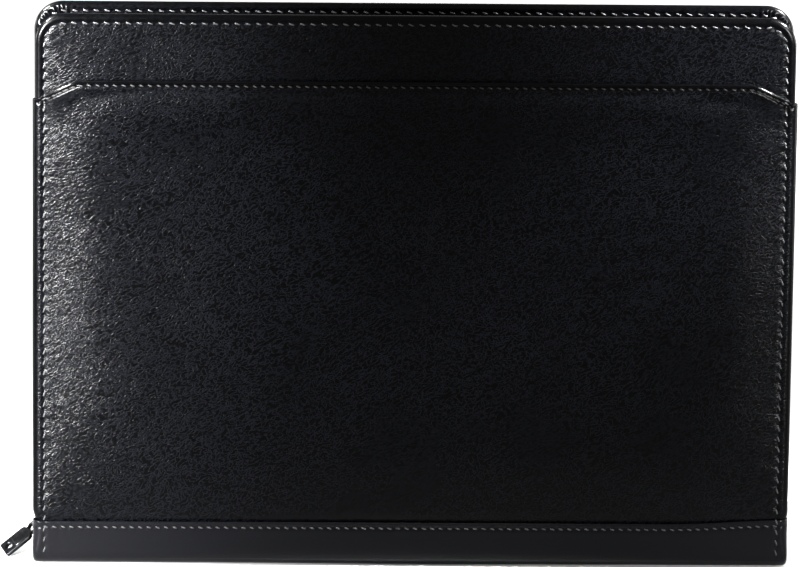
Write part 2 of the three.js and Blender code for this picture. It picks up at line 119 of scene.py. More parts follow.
class Number:
    """A number on a shader socket, whose operators add Math nodes."""

    def __init__(self, graph: "Graph", socket: bpy.types.NodeSocket) -> None:
        """Wrap a socket of a graph."""
        self.graph = graph
        self.socket = socket

    def _math(self, operation: str, first: Any, second: Any) -> "Number":
        """Add one Math node.

        Args:
            operation: The node's operation.
            first: The first number, as a wrapped socket or a plain number.
            second: The second number.

        Returns:
            The wrapped result.
        """
        made = self.graph.node("ShaderNodeMath", {"operation": operation}, {0: first, 1: second})
        return Number(self.graph, made.outputs[0])

    def __add__(self, other: Any) -> "Number":
        """Add a number."""
        return self._math("ADD", self, other)

    __radd__ = __add__

    def __sub__(self, other: Any) -> "Number":
        """Take a number away."""
        return self._math("SUBTRACT", self, other)

    def __rsub__(self, other: Any) -> "Number":
        """Take this from a number."""
        return self._math("SUBTRACT", other, self)

    def __mul__(self, other: Any) -> "Number":
        """Multiply by a number."""
        return self._math("MULTIPLY", self, other)

    __rmul__ = __mul__

    def __abs__(self) -> "Number":
        """Drop the sign."""
        return self._math("ABSOLUTE", self, 0.0)

    def eased(self, low: float, high: float) -> "Number":
        """Ease from 0 at low to 1 at high.

        Args:
            low: Where the result leaves 0.
            high: Where the result reaches 1.

        Returns:
            The eased number.
        """
        settings = {"interpolation_type": "SMOOTHSTEP"}
        sockets = {"Value": self, "From Min": low, "From Max": high, "To Min": 0.0, "To Max": 1.0}
        made = self.graph.node("ShaderNodeMapRange", settings, sockets)
        return Number(self.graph, made.outputs["Result"])


class Graph:
    """A material's node tree, written node by node."""

    def __init__(self, name: str) -> None:
        """Start an empty material."""
        self.material = bpy.data.materials.new(name)
        self.material.use_nodes = True
        self.tree = self.material.node_tree
        self.tree.nodes.clear()
        self.place = self.node("ShaderNodeTexCoord").outputs["Object"]

    def node(
        self, kind: str, settings: dict[str, Any] | None = None, sockets: dict[Any, Any] | None = None
    ) -> bpy.types.Node:
        """Add a node.

        Args:
            kind: The node's type.
            settings: The node's own settings, which are set first.
            sockets: Values or links of its inputs, by name or number.

        Returns:
            The node.
        """
        made = self.tree.nodes.new(kind)
        for key, value in (settings or {}).items():
            setattr(made, key, value)
        for key, value in (sockets or {}).items():
            source = value.socket if isinstance(value, Number) else value
            if isinstance(source, bpy.types.NodeSocket):
                self.tree.links.new(source, made.inputs[key])
            else:
                made.inputs[key].default_value = source
        return made

    def stretched(self, turn: tuple[float, float, float], scale: tuple[float, float, float]) -> Any:
        """The object's coordinates, turned and then scaled.

        Args:
            turn: Rotation in degrees.
            scale: Cycles per metre along each turned axis.

        Returns:
            The vector's socket.
        """
        radians = tuple(math.radians(angle) for angle in turn)
        turned = self.node(
            "ShaderNodeMapping", {"vector_type": "POINT"}, {"Vector": self.place, "Rotation": radians}
        )
        scaled = self.node(
            "ShaderNodeVectorMath", {"operation": "MULTIPLY"}, {0: turned.outputs[0], 1: scale}
        )
        return scaled.outputs[0]

    def warped(self, vector: Any, scale: float, reach: float) -> Any:
        """Coordinates that wander to and fro.

        Args:
            vector: The coordinates' socket.
            scale: Cycles of the wander per metre.
            reach: How far it wanders.

        Returns:
            The vector's socket.
        """
        sway = self.node("ShaderNodeTexNoise", None, {"Vector": self.place, "Scale": scale, "Detail": 2.0})
        sockets = {0: sway.outputs["Color"], 1: (reach, reach, reach), 2: vector}
        return self.node("ShaderNodeVectorMath", {"operation": "MULTIPLY_ADD"}, sockets).outputs[0]

    def noise(self, vector: Any, scale: float, detail: float = 2.0, rough: float = 0.5) -> Number:
        """Smooth noise from 0 to 1.

        Args:
            vector: The coordinates' socket.
            scale: Cycles per unit of the coordinates.
            detail: Octaves.
            rough: Share of the finer octaves.

        Returns:
            The noise.
        """
        sockets = {"Vector": vector, "Scale": scale, "Detail": detail, "Roughness": rough}
        made = self.node("ShaderNodeTexNoise", None, sockets)
        return Number(self, made.outputs["Fac"])

    def cells(self, vector: Any, scale: float, feature: str) -> Number:
        """Distance in a field of cells.

        Args:
            vector: The coordinates' socket.
            scale: Cells per unit of the coordinates.
            feature: The Voronoi feature.

        Returns:
            The distance.
        """
        made = self.node("ShaderNodeTexVoronoi", {"feature": feature}, {"Vector": vector, "Scale": scale})
        return Number(self, made.outputs["Distance"])

    def axis(self, name: str) -> Number:
        """One of the object's coordinates, in metres."""
        made = self.node("ShaderNodeSeparateXYZ", None, {0: self.place})
        return Number(self, made.outputs[name])

    def blend(self, share: Number, low: Sequence[float], high: Sequence[float]) -> Any:
        """Mix two colours.

        Args:
            share: 0 for the low colour, 1 for the high one.
            low: Linear red, green and blue.
            high: Linear red, green and blue.

        Returns:
            The colour's socket.
        """
        settings = {"data_type": "RGBA"}
        sockets = {"Factor": share, 6: (*low, 1.0), 7: (*high, 1.0)}
        return self.node("ShaderNodeMix", settings, sockets).outputs[2]

    def finish(self, height: Number | None, bump: float, sockets: dict[str, Any]) -> bpy.types.Material:
        """Close the material with a Principled shader.

        Args:
            height: Relief from 0 to 1, or None for a smooth surface.
            bump: Depth of the relief, in metres.
            sockets: The shader's other inputs.

        Returns:
            The material.
        """
        shader = self.node("ShaderNodeBsdfPrincipled", None, sockets)
        if height is not None:
            relief = {"Height": height, "Distance": bump, "Strength": 1.0}
            self.tree.links.new(self.node("ShaderNodeBump", None, relief).outputs[0], shader.inputs["Normal"])
        self.node("ShaderNodeOutputMaterial", None, {"Surface": shader.outputs[0]})
        return self.material


@dataclass(frozen=True)
class LeatherFinish:
    """Black full-grain leather: pebbled cells, fine creases and a soft polish; its lighter grain strokes are
    partly the leather's own tone and partly painted glints off the grain ridges.
    """

    name: str
    dark: Colour = (0.0001, 0.00011, 0.00015)
    # lighter tone of the grain strokes: partly the leather's own tone, partly painted glints off the grain
    # ridges
    grain_and_glint: Colour = (0.0021, 0.0023, 0.0033)
    strokes: float = 760.0
    pebbles: float = 720.0
    pores: float = 1500.0
    relief: float = 0.00007
    gloss: float = 0.13
    creases: float = 0.4

    def material(self) -> bpy.types.Material:
        """Build the material, whose grain is pressed flat where a piece's points are marked as calm."""
        graph = Graph(self.name)
        drawn = graph.stretched((0.0, 33.0, 0.0), (0.58, 1.0, 1.0))
        swayed = graph.warped(drawn, 11.0, 0.016)
        bent = graph.warped(swayed, 300.0, 0.0009)
        stroke = (1.0 - abs(graph.noise(bent, self.strokes, 2.0) * 2.0 - 1.0)).eased(0.78, 1.0)
        pebble = graph.cells(bent, self.pebbles, "DISTANCE_TO_EDGE").eased(0.0, 0.3)
        pore = graph.cells(bent, self.pores, "DISTANCE_TO_EDGE").eased(0.0, 0.25)
        grit = graph.noise(graph.place, 5200.0, 2.0)
        slanting = graph.noise(graph.stretched((0.0, 30.0, 0.0), (95.0, 430.0, 430.0)), 1.0, 3.0)
        level = graph.noise(graph.stretched((0.0, -6.0, 0.0), (70.0, 380.0, 380.0)), 1.0, 3.0)
        across = graph.axis("X")
        left = 1.0 - across.eased(-0.165, -0.06)
        right = across.eased(0.115, 0.168)
        fold = abs(slanting * 2.0 - 1.0) * (left * 0.75 + 0.25) + abs(level * 2.0 - 1.0) * right
        marks = graph.node("ShaderNodeAttribute", {"attribute_name": "calm"})
        free = 1.0 - Number(graph, marks.outputs["Fac"])
        grain = stroke * 0.42 + pebble * 0.32 + pore * 0.16 + grit * 0.06
        height = (grain + fold.eased(0.0, 0.35) * self.creases) * free
        patch = graph.noise(graph.place, 22.0, 3.0)
        # lighter strokes along the grain in the base colour: partly the leather's own tone, partly painted
        # glints off the grain ridges
        tone = graph.blend(stroke * (patch * 0.8 + 0.3) * (free * 0.8 + 0.2), self.dark, self.grain_and_glint)
        rough = self.gloss + (1.0 - pebble) * 0.05 + patch * 0.08 + grit * 0.04
        sockets = {
            "Base Color": tone,
            "Roughness": rough,
            "Specular IOR Level": 0.06,
        }
        return graph.finish(height, self.relief, sockets)


@dataclass(frozen=True)
class ThreadFinish:
    """Waxed grey-black thread with the turns of its twist."""

    name: str
    dark: Colour = (0.012, 0.012, 0.0127)
    light: Colour = (0.045, 0.045, 0.0465)

    def material(self) -> bpy.types.Material:
        """Build the material."""
        graph = Graph(self.name)
        twist = graph.noise(graph.stretched((0.0, 35.0, 0.0), (2600.0, 2600.0, 900.0)), 1.0, 1.0)
        wear = graph.noise(graph.place, 240.0, 2.0)
        tone = graph.blend(twist * 0.6 + wear * 0.4, self.dark, self.light)
        sockets = {"Base Color": tone, "Roughness": wear * 0.2 + 0.45, "Specular IOR Level": 0.15}
        return graph.finish(twist, 0.00008, sockets)


@dataclass(frozen=True)
class TapeFinish:
    """Black woven zip tape: fine ribs along it and across it."""

    name: str
    dark: Colour = (0.0008, 0.0008, 0.0009)
    light: Colour = (0.0032, 0.0032, 0.0034)
    ribs: float = 1500.0

    def material(self) -> bpy.types.Material:
        """Build the material."""
        graph = Graph(self.name)
        settings = {"wave_type": "BANDS", "bands_direction": "DIAGONAL"}
        bands = {"Vector": graph.place, "Scale": self.ribs / 6.0, "Distortion": 0.6}
        weave = Number(graph, graph.node("ShaderNodeTexWave", settings, bands).outputs["Fac"])
        fuzz = graph.noise(graph.place, 3000.0, 2.0)
        yarn = weave * 0.7 + fuzz * 0.3
        tone = graph.blend(yarn, self.dark, self.light)
        sockets = {"Base Color": tone, "Roughness": fuzz * 0.15 + 0.75, "Specular IOR Level": 0.05}
        return graph.finish(yarn, 0.00012, sockets)


@dataclass(frozen=True)
class TeethFinish:
    """Black nylon teeth, slightly polished by the slider."""

    name: str
    dark: Colour = (0.003, 0.003, 0.0032)
    light: Colour = (0.009, 0.009, 0.0095)

    def material(self) -> bpy.types.Material:
        """Build the material."""
        graph = Graph(self.name)
        wear = graph.noise(graph.place, 420.0, 3.0)
        tone = graph.blend(wear, self.dark, self.light)
        sockets = {"Base Color": tone, "Roughness": wear * 0.25 + 0.3, "Specular IOR Level": 0.15}
        return graph.finish(wear, 0.00005, sockets)


@dataclass(frozen=True)
class MetalFinish:
    """Dark plated metal with a fine brushing and lighter rubbed places."""

    name: str
    dark: Colour = (0.009, 0.0092, 0.0102)
    rubbed: Colour = (0.034, 0.035, 0.037)

    def material(self) -> bpy.types.Material:
        """Build the material."""
        graph = Graph(self.name)
        brushed = graph.noise(graph.stretched((0.0, 38.0, 0.0), (500.0, 6000.0, 6000.0)), 1.0, 2.0)
        wear = graph.noise(graph.place, 380.0, 4.0).eased(0.4, 0.75)
        tone = graph.blend(wear, self.dark, self.rubbed)
        sockets = {"Base Color": tone, "Metallic": 1.0, "Roughness": brushed * 0.18 + 0.24 - wear * 0.06}
        return graph.finish(brushed, 0.00002, sockets)


@dataclass(frozen=True)
class FloorFinish:
    """A matt white studio floor."""

    name: str

    def material(self) -> bpy.types.Material:
        """Build the material."""
        graph = Graph(self.name)
        cloud = graph.noise(graph.place, 3.0, 2.0)
        tone = graph.blend(cloud, (0.86, 0.86, 0.86), (0.9, 0.9, 0.9))
        return graph.finish(None, 0.0, {"Base Color": tone, "Roughness": 0.8, "Specular IOR Level": 0.2})


class Bench:
    """Modelling moves, made one at a time as by hand."""

    @staticmethod
    def clear() -> None:
        """Leave edit mode and deselect everything."""
        if bpy.context.mode != "OBJECT":
            bpy.ops.object.mode_set(mode="OBJECT")
        bpy.ops.object.select_all(action="DESELECT")

    @staticmethod
    def pick(piece: bpy.types.Object) -> None:
        """Make a piece the only one selected."""
        Bench.clear()
        piece.select_set(True)
        bpy.context.view_layer.objects.active = piece

    @staticmethod
    def cut_sheet(
        name: str, columns: int, rows: int, fold: Callable[[np.ndarray, np.ndarray], np.ndarray]
    ) -> bpy.types.Object:
        """Cut a flat sheet as a grid and fold it into place.

        Args:
            name: The piece's name.
            columns: Points across the sheet.
            rows: Points up the sheet.
            fold: Gives points in millimetres for arrays of column and row numbers.

        Returns:
            The folded sheet.
        """
        Bench.clear()
        bpy.ops.mesh.primitive_grid_add(x_subdivisions=columns - 1, y_subdivisions=rows - 1, size=1.0)
        piece = bpy.context.active_object
        piece.name = name
        piece.data.name = name
        flat = Bench.points(piece)
        column = np.rint((flat[:, 0] + 0.5) * (columns - 1)).astype(int)
        row = np.rint((flat[:, 1] + 0.5) * (rows - 1)).astype(int)
        Bench.place(piece, fold(column, row))
        return piece

    @staticmethod
    def points(piece: bpy.types.Object) -> np.ndarray:
        """A mesh's points, in metres."""
        found = np.empty(len(piece.data.vertices) * 3)
        piece.data.vertices.foreach_get("co", found)
        return found.reshape(-1, 3)

    @staticmethod
    def place(piece: bpy.types.Object, points: np.ndarray) -> None:
        """Move a mesh's points.

        Args:
            piece: The piece.
            points: Its points in millimetres.
        """
        piece.data.vertices.foreach_set("co", (points * MM).ravel())
        piece.data.update()

    @staticmethod
    def keep_mark(piece: bpy.types.Object, name: str, values: np.ndarray) -> None:
        """Store a number on each point, which subdivision then carries along.

        Args:
            piece: The piece.
            name: The attribute's name.
            values: One number for each point.
        """
        layer = piece.data.attributes.new(name, "FLOAT", "POINT")
        layer.data.foreach_set("value", np.asarray(values, np.float32))

    @staticmethod
    def mark(piece: bpy.types.Object, name: str) -> np.ndarray:
        """Read the numbers that were stored on a mesh's points."""
        layer = piece.data.attributes[name]
        found = np.empty(len(piece.data.vertices), np.float32)
        layer.data.foreach_get("value", found)
        return found

    @staticmethod
    def modify(piece: bpy.types.Object, kind: str, **settings: Any) -> None:
        """Add a modifier and apply it.

        Args:
            piece: The piece.
            kind: The modifier's type.
            settings: The modifier's settings.
        """
        Bench.pick(piece)
        made = piece.modifiers.new(kind.lower(), kind)
        for key, value in settings.items():
            setattr(made, key, value)
        bpy.ops.object.modifier_apply(modifier=made.name)

    @staticmethod
    def round_edges(piece: bpy.types.Object, width: float, degrees: float) -> None:
        """Round the edges of a piece that are sharper than an angle.

        Args:
            piece: The piece.
            width: Width of the rounding, in millimetres.
            degrees: The angle.
        """
        limit = math.radians(degrees)
        Bench.modify(piece, "BEVEL", width=width * MM, segments=2, limit_method="ANGLE", angle_limit=limit)

    @staticmethod
    def choose(piece: bpy.types.Object, kind: str, chosen: np.ndarray) -> None:
        """Open a piece in edit mode with some of its points or edges selected.

        Args:
            piece: The piece.
            kind: VERT for its points, EDGE for its edges.
            chosen: True for each one that is selected.
        """
        Bench.pick(piece)
        bpy.ops.object.mode_set(mode="EDIT")
        bpy.ops.mesh.select_mode(type=kind)
        bpy.ops.mesh.select_all(action="DESELECT")
        bpy.ops.object.mode_set(mode="OBJECT")
        parts = piece.data.edges if kind == "EDGE" else piece.data.vertices
        parts.foreach_set("select", chosen)
        bpy.ops.object.mode_set(mode="EDIT")

    @staticmethod
    def refine(piece: bpy.types.Object, wanted: Callable[[np.ndarray], np.ndarray], longest: float) -> None:
        """Cut in three the long edges that a test picks by their middles.

        Args:
            piece: The piece.
            wanted: Gives True for each place to refine, from places in millimetres.
            longest: Length over which an edge is cut, in millimetres.
        """
        points = Bench.points(piece) / MM
        ends = np.empty(len(piece.data.edges) * 2, np.int32)
        piece.data.edges.foreach_get("vertices", ends)
        first, second = points[ends[0::2]], points[ends[1::2]]
        chosen = np.linalg.norm(second - first, axis=1) > longest
        chosen &= wanted((first + second) / 2)
        Bench.choose(piece, "EDGE", chosen)
        bpy.ops.mesh.subdivide(number_cuts=2, smoothness=0.0)
        bpy.ops.object.mode_set(mode="OBJECT")

    @staticmethod
    def close(piece: bpy.types.Object, first: np.ndarray) -> None:
        """Close an open sheet into a solid: fill one run of its edge, then the loop that is left.

        Args:
            piece: The piece.
            first: True for each point of the run that is filled first.
        """
        Bench.choose(piece, "VERT", first)
        bpy.ops.mesh.edge_face_add()
        bpy.ops.mesh.quads_convert_to_tris()
        bpy.ops.mesh.select_all(action="DESELECT")
        bpy.ops.mesh.select_non_manifold()
        bpy.ops.mesh.edge_face_add()
        bpy.ops.mesh.quads_convert_to_tris()
        bpy.ops.mesh.select_all(action="SELECT")
        bpy.ops.mesh.normals_make_consistent(inside=False)
        bpy.ops.object.mode_set(mode="OBJECT")

    @staticmethod
    def smooth(piece: bpy.types.Object, degrees: float = 40.0) -> None:
        """Shade a piece smooth, except over edges sharper than an angle."""
        Bench.pick(piece)
        bpy.ops.object.shade_smooth_by_angle(angle=math.radians(degrees))

    @staticmethod
    def copies(name: str, model: bpy.types.Object, places: Sequence[Matrix]) -> bpy.types.Object:
        """Join many copies of one model into a piece, and remove the model.

        Args:
            name: The piece's name.
            model: The shape that is repeated.
            places: The place of each copy.

        Returns:
            The joined piece.
        """
        shape = np.c_[Bench.points(model), np.ones(len(model.data.vertices))]
        turns = np.array([np.array(place) for place in places])
        points = np.einsum("nij,vj->nvi", turns, shape)[:, :, :3].reshape(-1, 3)
        faces = [np.array(face.vertices) for face in model.data.polygons]
        starts = np.arange(len(turns)) * len(shape)
        joined = [(face + start).tolist() for start in starts for face in faces]
        mesh = bpy.data.meshes.new(name)
        mesh.from_pydata(points.tolist(), [], joined)
        mesh.update()
        piece = bpy.data.objects.new(name, mesh)
        bpy.context.scene.collection.objects.link(piece)
        bpy.data.objects.remove(model)
        return piece

    @staticmethod
    def dress(
        piece: bpy.types.Object, finish: bpy.types.Material, slot: Slot, body: Body, *nodes: str
    ) -> None:
        """Give a piece its finish, its body and the nodes that it stands for.

        Args:
            piece: The piece.
            finish: Its material.
            slot: The material slot; not used.
            body: The body that it rides on.
            nodes: The solids that it replaces.
        """
        piece.data.materials.clear()
        piece.data.materials.append(finish)
        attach(piece, body.value)
        if nodes:
            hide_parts(*nodes)
        triangles = sum(len(face.vertices) - 2 for face in piece.data.polygons)
        LOG.info("%s: %d triangles on body %s", piece.name, triangles, body.value)


@dataclass(frozen=True)
class CaseForm:
    """Sizes that the leather pieces share, in millimetres."""

    half_width: float
    height: float
    corner: float = 13.0
    rim: float = 4.0
    stitch_inset: float = 4.2
    leather: float = 1.0
    layer_gap: float = 0.25
    crown: float = 2.8
    crown_reach: float = 25.0
    cover_foot: float = 10.0
    band_top: float = 20.8
    band_dip: float = 4.0
    spacing: float = 5.2
    finest: float = 1.3

    @classmethod
    def from_frame(cls) -> "CaseForm":
        """Take the overall sizes from the back cover's solid."""
        _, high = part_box("back_cover")
        return cls(half_width=round(high.x / MM, 2), height=round(high.z / MM, 2))

    @property
    def lap(self) -> float:
        """Depth that one layer takes up over another."""
        return self.leather + self.layer_gap

    def setback(self, height: np.ndarray) -> np.ndarray:
        """How far a cover is let in under the spine band at a height."""
        return self.lap * (1.0 - smoothstep(height, self.band_top + 0.2, self.band_top + self.band_dip))

    def rise(self, inset: np.ndarray, height: np.ndarray) -> np.ndarray:
        """Rise of the padded face over its rim.

        Args:
            inset: Distance in from the edge.
            height: Height above the foot.

        Returns:
            The rise.
        """
        from_rim = level_off((inset - self.stitch_inset) / self.crown_reach)
        from_band = level_off((height - self.band_top - self.band_dip) / self.crown_reach)
        return self.crown * from_rim * from_band

    def foot_rows(self) -> list[float]:
        """Heights of the rows over a cover's foot, close together where it dips under the band."""
        top = self.band_top
        return [self.cover_foot, 15.0, 19.0, top + 0.2, top + 2.1, top + self.band_dip, 27.8, 31.4, 35.8]


@dataclass(frozen=True)
class RimTrack:
    """A line up the left side, over the top and down the right side, at one inset from the edge."""

    half_width: float
    height: float
    corner: float
    inset: float
    left_foot: float
    right_foot: float

    @property
    def core(self) -> tuple[float, float]:
        """Half width and height of the core that the corners turn about."""
        return self.half_width - self.corner, self.height - self.corner

    def ends(self) -> np.ndarray:
        """Travel at the end of each of the five runs."""
        core_x, core_z = self.core
        arc = (self.corner - self.inset) * math.pi / 2
        return np.cumsum([core_z - self.left_foot, arc, 2 * core_x, arc, core_z - self.right_foot])

    def follow(self, travel: np.ndarray) -> tuple[np.ndarray, np.ndarray]:
        """Walk along the line.

        Args:
            travel: Distances from the left foot.

        Returns:
            Core points as X and Z, and the directions outwards from them.
        """
        ends = self.ends()
        core_x, core_z = self.core
        run = np.searchsorted(ends[:-1], travel)
        into = travel - np.concatenate([[0.0], ends[:-1]])[run]
        arc = (self.corner - self.inset) * math.pi / 2
        turn = into / arc * math.pi / 2
        quarter = np.pi / 2
        angle = np.choose(run, [2 * quarter, 2 * quarter - turn, quarter, quarter - turn, 0.0])
        x = np.choose(run, [-core_x, -core_x, into - core_x, core_x, core_x])
        z = np.choose(run, [self.left_foot + into, core_z, core_z, core_z, core_z - into])
        return np.c_[x, z], np.c_[np.cos(angle), np.sin(angle)]

    def points(self, travel: np.ndarray, inset: float | None = None) -> np.ndarray:
        """Points as X and Z along the line, or along one at another inset."""
        core, outward = self.follow(travel)
        return core + outward * (self.corner - (self.inset if inset is None else inset))

    def locate(self, x: np.ndarray, z: np.ndarray) -> tuple[np.ndarray, np.ndarray]:
        """Find how far in from the edge points lie, and how far along the line.

        Args:
            x: The points' X.
            z: The points' Z.

        Returns:
            The insets and the travel.
        """
        core_x, core_z = self.core
        ends = self.ends()
        past_x = np.maximum(np.abs(x) - core_x, 0.0)
        past_z = np.maximum(z - core_z, 0.0)
        side = self.half_width - np.abs(x)
        top = self.height - z
        in_corner = (past_x > 0) & (past_z > 0)
        inset = np.where(in_corner, self.corner - np.hypot(past_x, past_z), np.minimum(side, top))
        turn = np.arctan2(past_z, np.maximum(past_x, 1e-9)) * (self.corner - self.inset)
        on_left = np.where(in_corner, ends[0] + turn, z - self.left_foot)
        on_right = np.where(in_corner, ends[3] - turn, ends[3] + core_z - z)
        on_top = ends[1] + core_x + x
        travel = np.where(in_corner | (side < top), np.where(x < 0, on_left, on_right), on_top)
        return inset, travel


class Seam:
    """A row of stitches: where it runs and how far its thread pulls the leather in."""

    pitch: float
    hole: float = 0.16
    groove: float = 0.2
    pull: float = 0.04

    def length(self) -> float:
        """Length of the row."""
        raise NotImplementedError

    def at(self, travel: np.ndarray) -> np.ndarray:
        """Points of the row as X and Z."""
        raise NotImplementedError

    def locate(self, x: np.ndarray, z: np.ndarray) -> tuple[np.ndarray, np.ndarray]:
        """Distance from the row, positive on the padded side, and travel along it."""
        raise NotImplementedError

    def holes(self) -> np.ndarray:
        """Travel of the needle's holes, a whole number of stitches along the row."""
        count = int(round(self.length() / self.pitch))
        return np.linspace(0.0, self.length(), count + 1)

    def sink(self, x: np.ndarray, z: np.ndarray) -> np.ndarray:
        """How far the thread draws the leather in.

        Args:
            x: The points' X.
            z: The points' Z.

        Returns:
            The depth at each point.
        """
        off, travel = self.locate(x, z)
        step = self.length() / (len(self.holes()) - 1)
        beat = np.cos(2 * np.pi * travel / step)
        near = np.exp(-((off / 0.85) ** 2))
        inwards = np.exp(-np.maximum(off, 0.0) / 3.6) * np.exp(-((np.minimum(off, 0.0) / 1.2) ** 2))
        on_row = (travel > -self.pitch) & (travel < self.length() + self.pitch)
        dimple = self.hole * (0.5 + 0.5 * beat)
        return on_row * (near * (self.groove + dimple) + self.pull * inwards * beat)

    def near(self, x: np.ndarray, z: np.ndarray, reach: float) -> np.ndarray:
        """True for the points within a reach of the row."""
        off, travel = self.locate(x, z)
        return (np.abs(off - reach / 3) < reach) & (travel > -reach) & (travel < self.length() + reach)


@dataclass
class RimSeam(Seam):
    """The row that runs round a cover beside its rolled rim."""

    track: RimTrack
    pitch: float = 4.85

    def length(self) -> float:
        """Length of the row."""
        return float(self.track.ends()[-1])

    def at(self, travel: np.ndarray) -> np.ndarray:
        """Points of the row as X and Z."""
        return self.track.points(travel)

    def locate(self, x: np.ndarray, z: np.ndarray) -> tuple[np.ndarray, np.ndarray]:
        """Distance in from the row, and travel along it."""
        inset, travel = self.track.locate(x, z)
        return inset - self.track.inset, travel


@dataclass
class LevelSeam(Seam):
    """A row that runs across the case at a height that may change on the way."""

    height_at: Callable[[np.ndarray], np.ndarray]
    half_length: float
    pitch: float = 3.9
    hole: float = 0.14
    groove: float = 0.16
    pull: float = 0.03
    close_from: float = 1000.0
    closer: float = 0.0

    def measure(self, x: np.ndarray | float) -> np.ndarray:
        """Travel from the middle, which counts for more where the stitches are closer."""
        return x + np.sign(x) * np.maximum(np.abs(x) - self.close_from, 0.0) * self.closer

    def length(self) -> float:
        """Length of the row, measured across."""
        return 2 * float(self.measure(self.half_length))

    def at(self, travel: np.ndarray) -> np.ndarray:
        """Points of the row as X and Z."""
        away = travel - self.length() / 2
        past = np.maximum(np.abs(away) - self.close_from, 0.0)
        x = away - np.sign(away) * past * (1.0 - 1.0 / (1.0 + self.closer))
        return np.c_[x, self.height_at(x)]

    def locate(self, x: np.ndarray, z: np.ndarray) -> tuple[np.ndarray, np.ndarray]:
        """Distance below the row, and travel along it."""
        return self.height_at(x) - z, self.measure(x) + self.length() / 2


@dataclass
class Padding:
    """Foam behind a leather face: it swells the face, which the seams hold down."""

    pressure: float = 4.0
    frames: int = 20
    start_share: float = 0.4
    overfill: float = 6.0

    def swell(self, piece: bpy.types.Object, held: np.ndarray, cap: float) -> None:
        """Let a face swell as cloth under pressure, and cap how far its points move.

        Args:
            piece: The piece.
            held: True for each point that a seam or a layer over it holds still.
            cap: The most that a point may move, in millimetres.
        """
        before = Bench.points(piece)
        group = piece.vertex_groups.new(name="held")
        group.add([int(index) for index in np.flatnonzero(held)], 1.0, "REPLACE")
        Bench.pick(piece)
        cloth = piece.modifiers.new("padding", "CLOTH")
        settings = cloth.settings
        settings.vertex_group_mass = group.name
        settings.quality = 5
        settings.mass = 0.002
        settings.tension_stiffness = 12.0
        settings.compression_stiffness = 12.0
        settings.shear_stiffness = 6.0
        settings.bending_stiffness = 0.4
        settings.use_pressure = True
        settings.uniform_pressure_force = self.pressure
        settings.effector_weights.gravity = 0.0
        cloth.collision_settings.use_collision = False
        cloth.point_cache.frame_start = 1
        cloth.point_cache.frame_end = self.frames
        for step in range(1, self.frames + 1):
            bpy.context.scene.frame_set(step)
        bpy.ops.object.modifier_apply(modifier=cloth.name)
        bpy.context.scene.frame_set(1)
        moved = Bench.points(piece) - before
        distance = np.linalg.norm(moved, axis=1)
        LOG.info("%s swelled by up to %.2f mm", piece.name, distance.max() / MM)
        share = distance / max(distance.max(), 1e-9) * self.overfill
        capped = cap * np.tanh(share)
        direction = moved / np.maximum(distance, 1e-9)[:, None]
        Bench.place(piece, before / MM + direction * capped[:, None])
        piece.vertex_groups.clear()


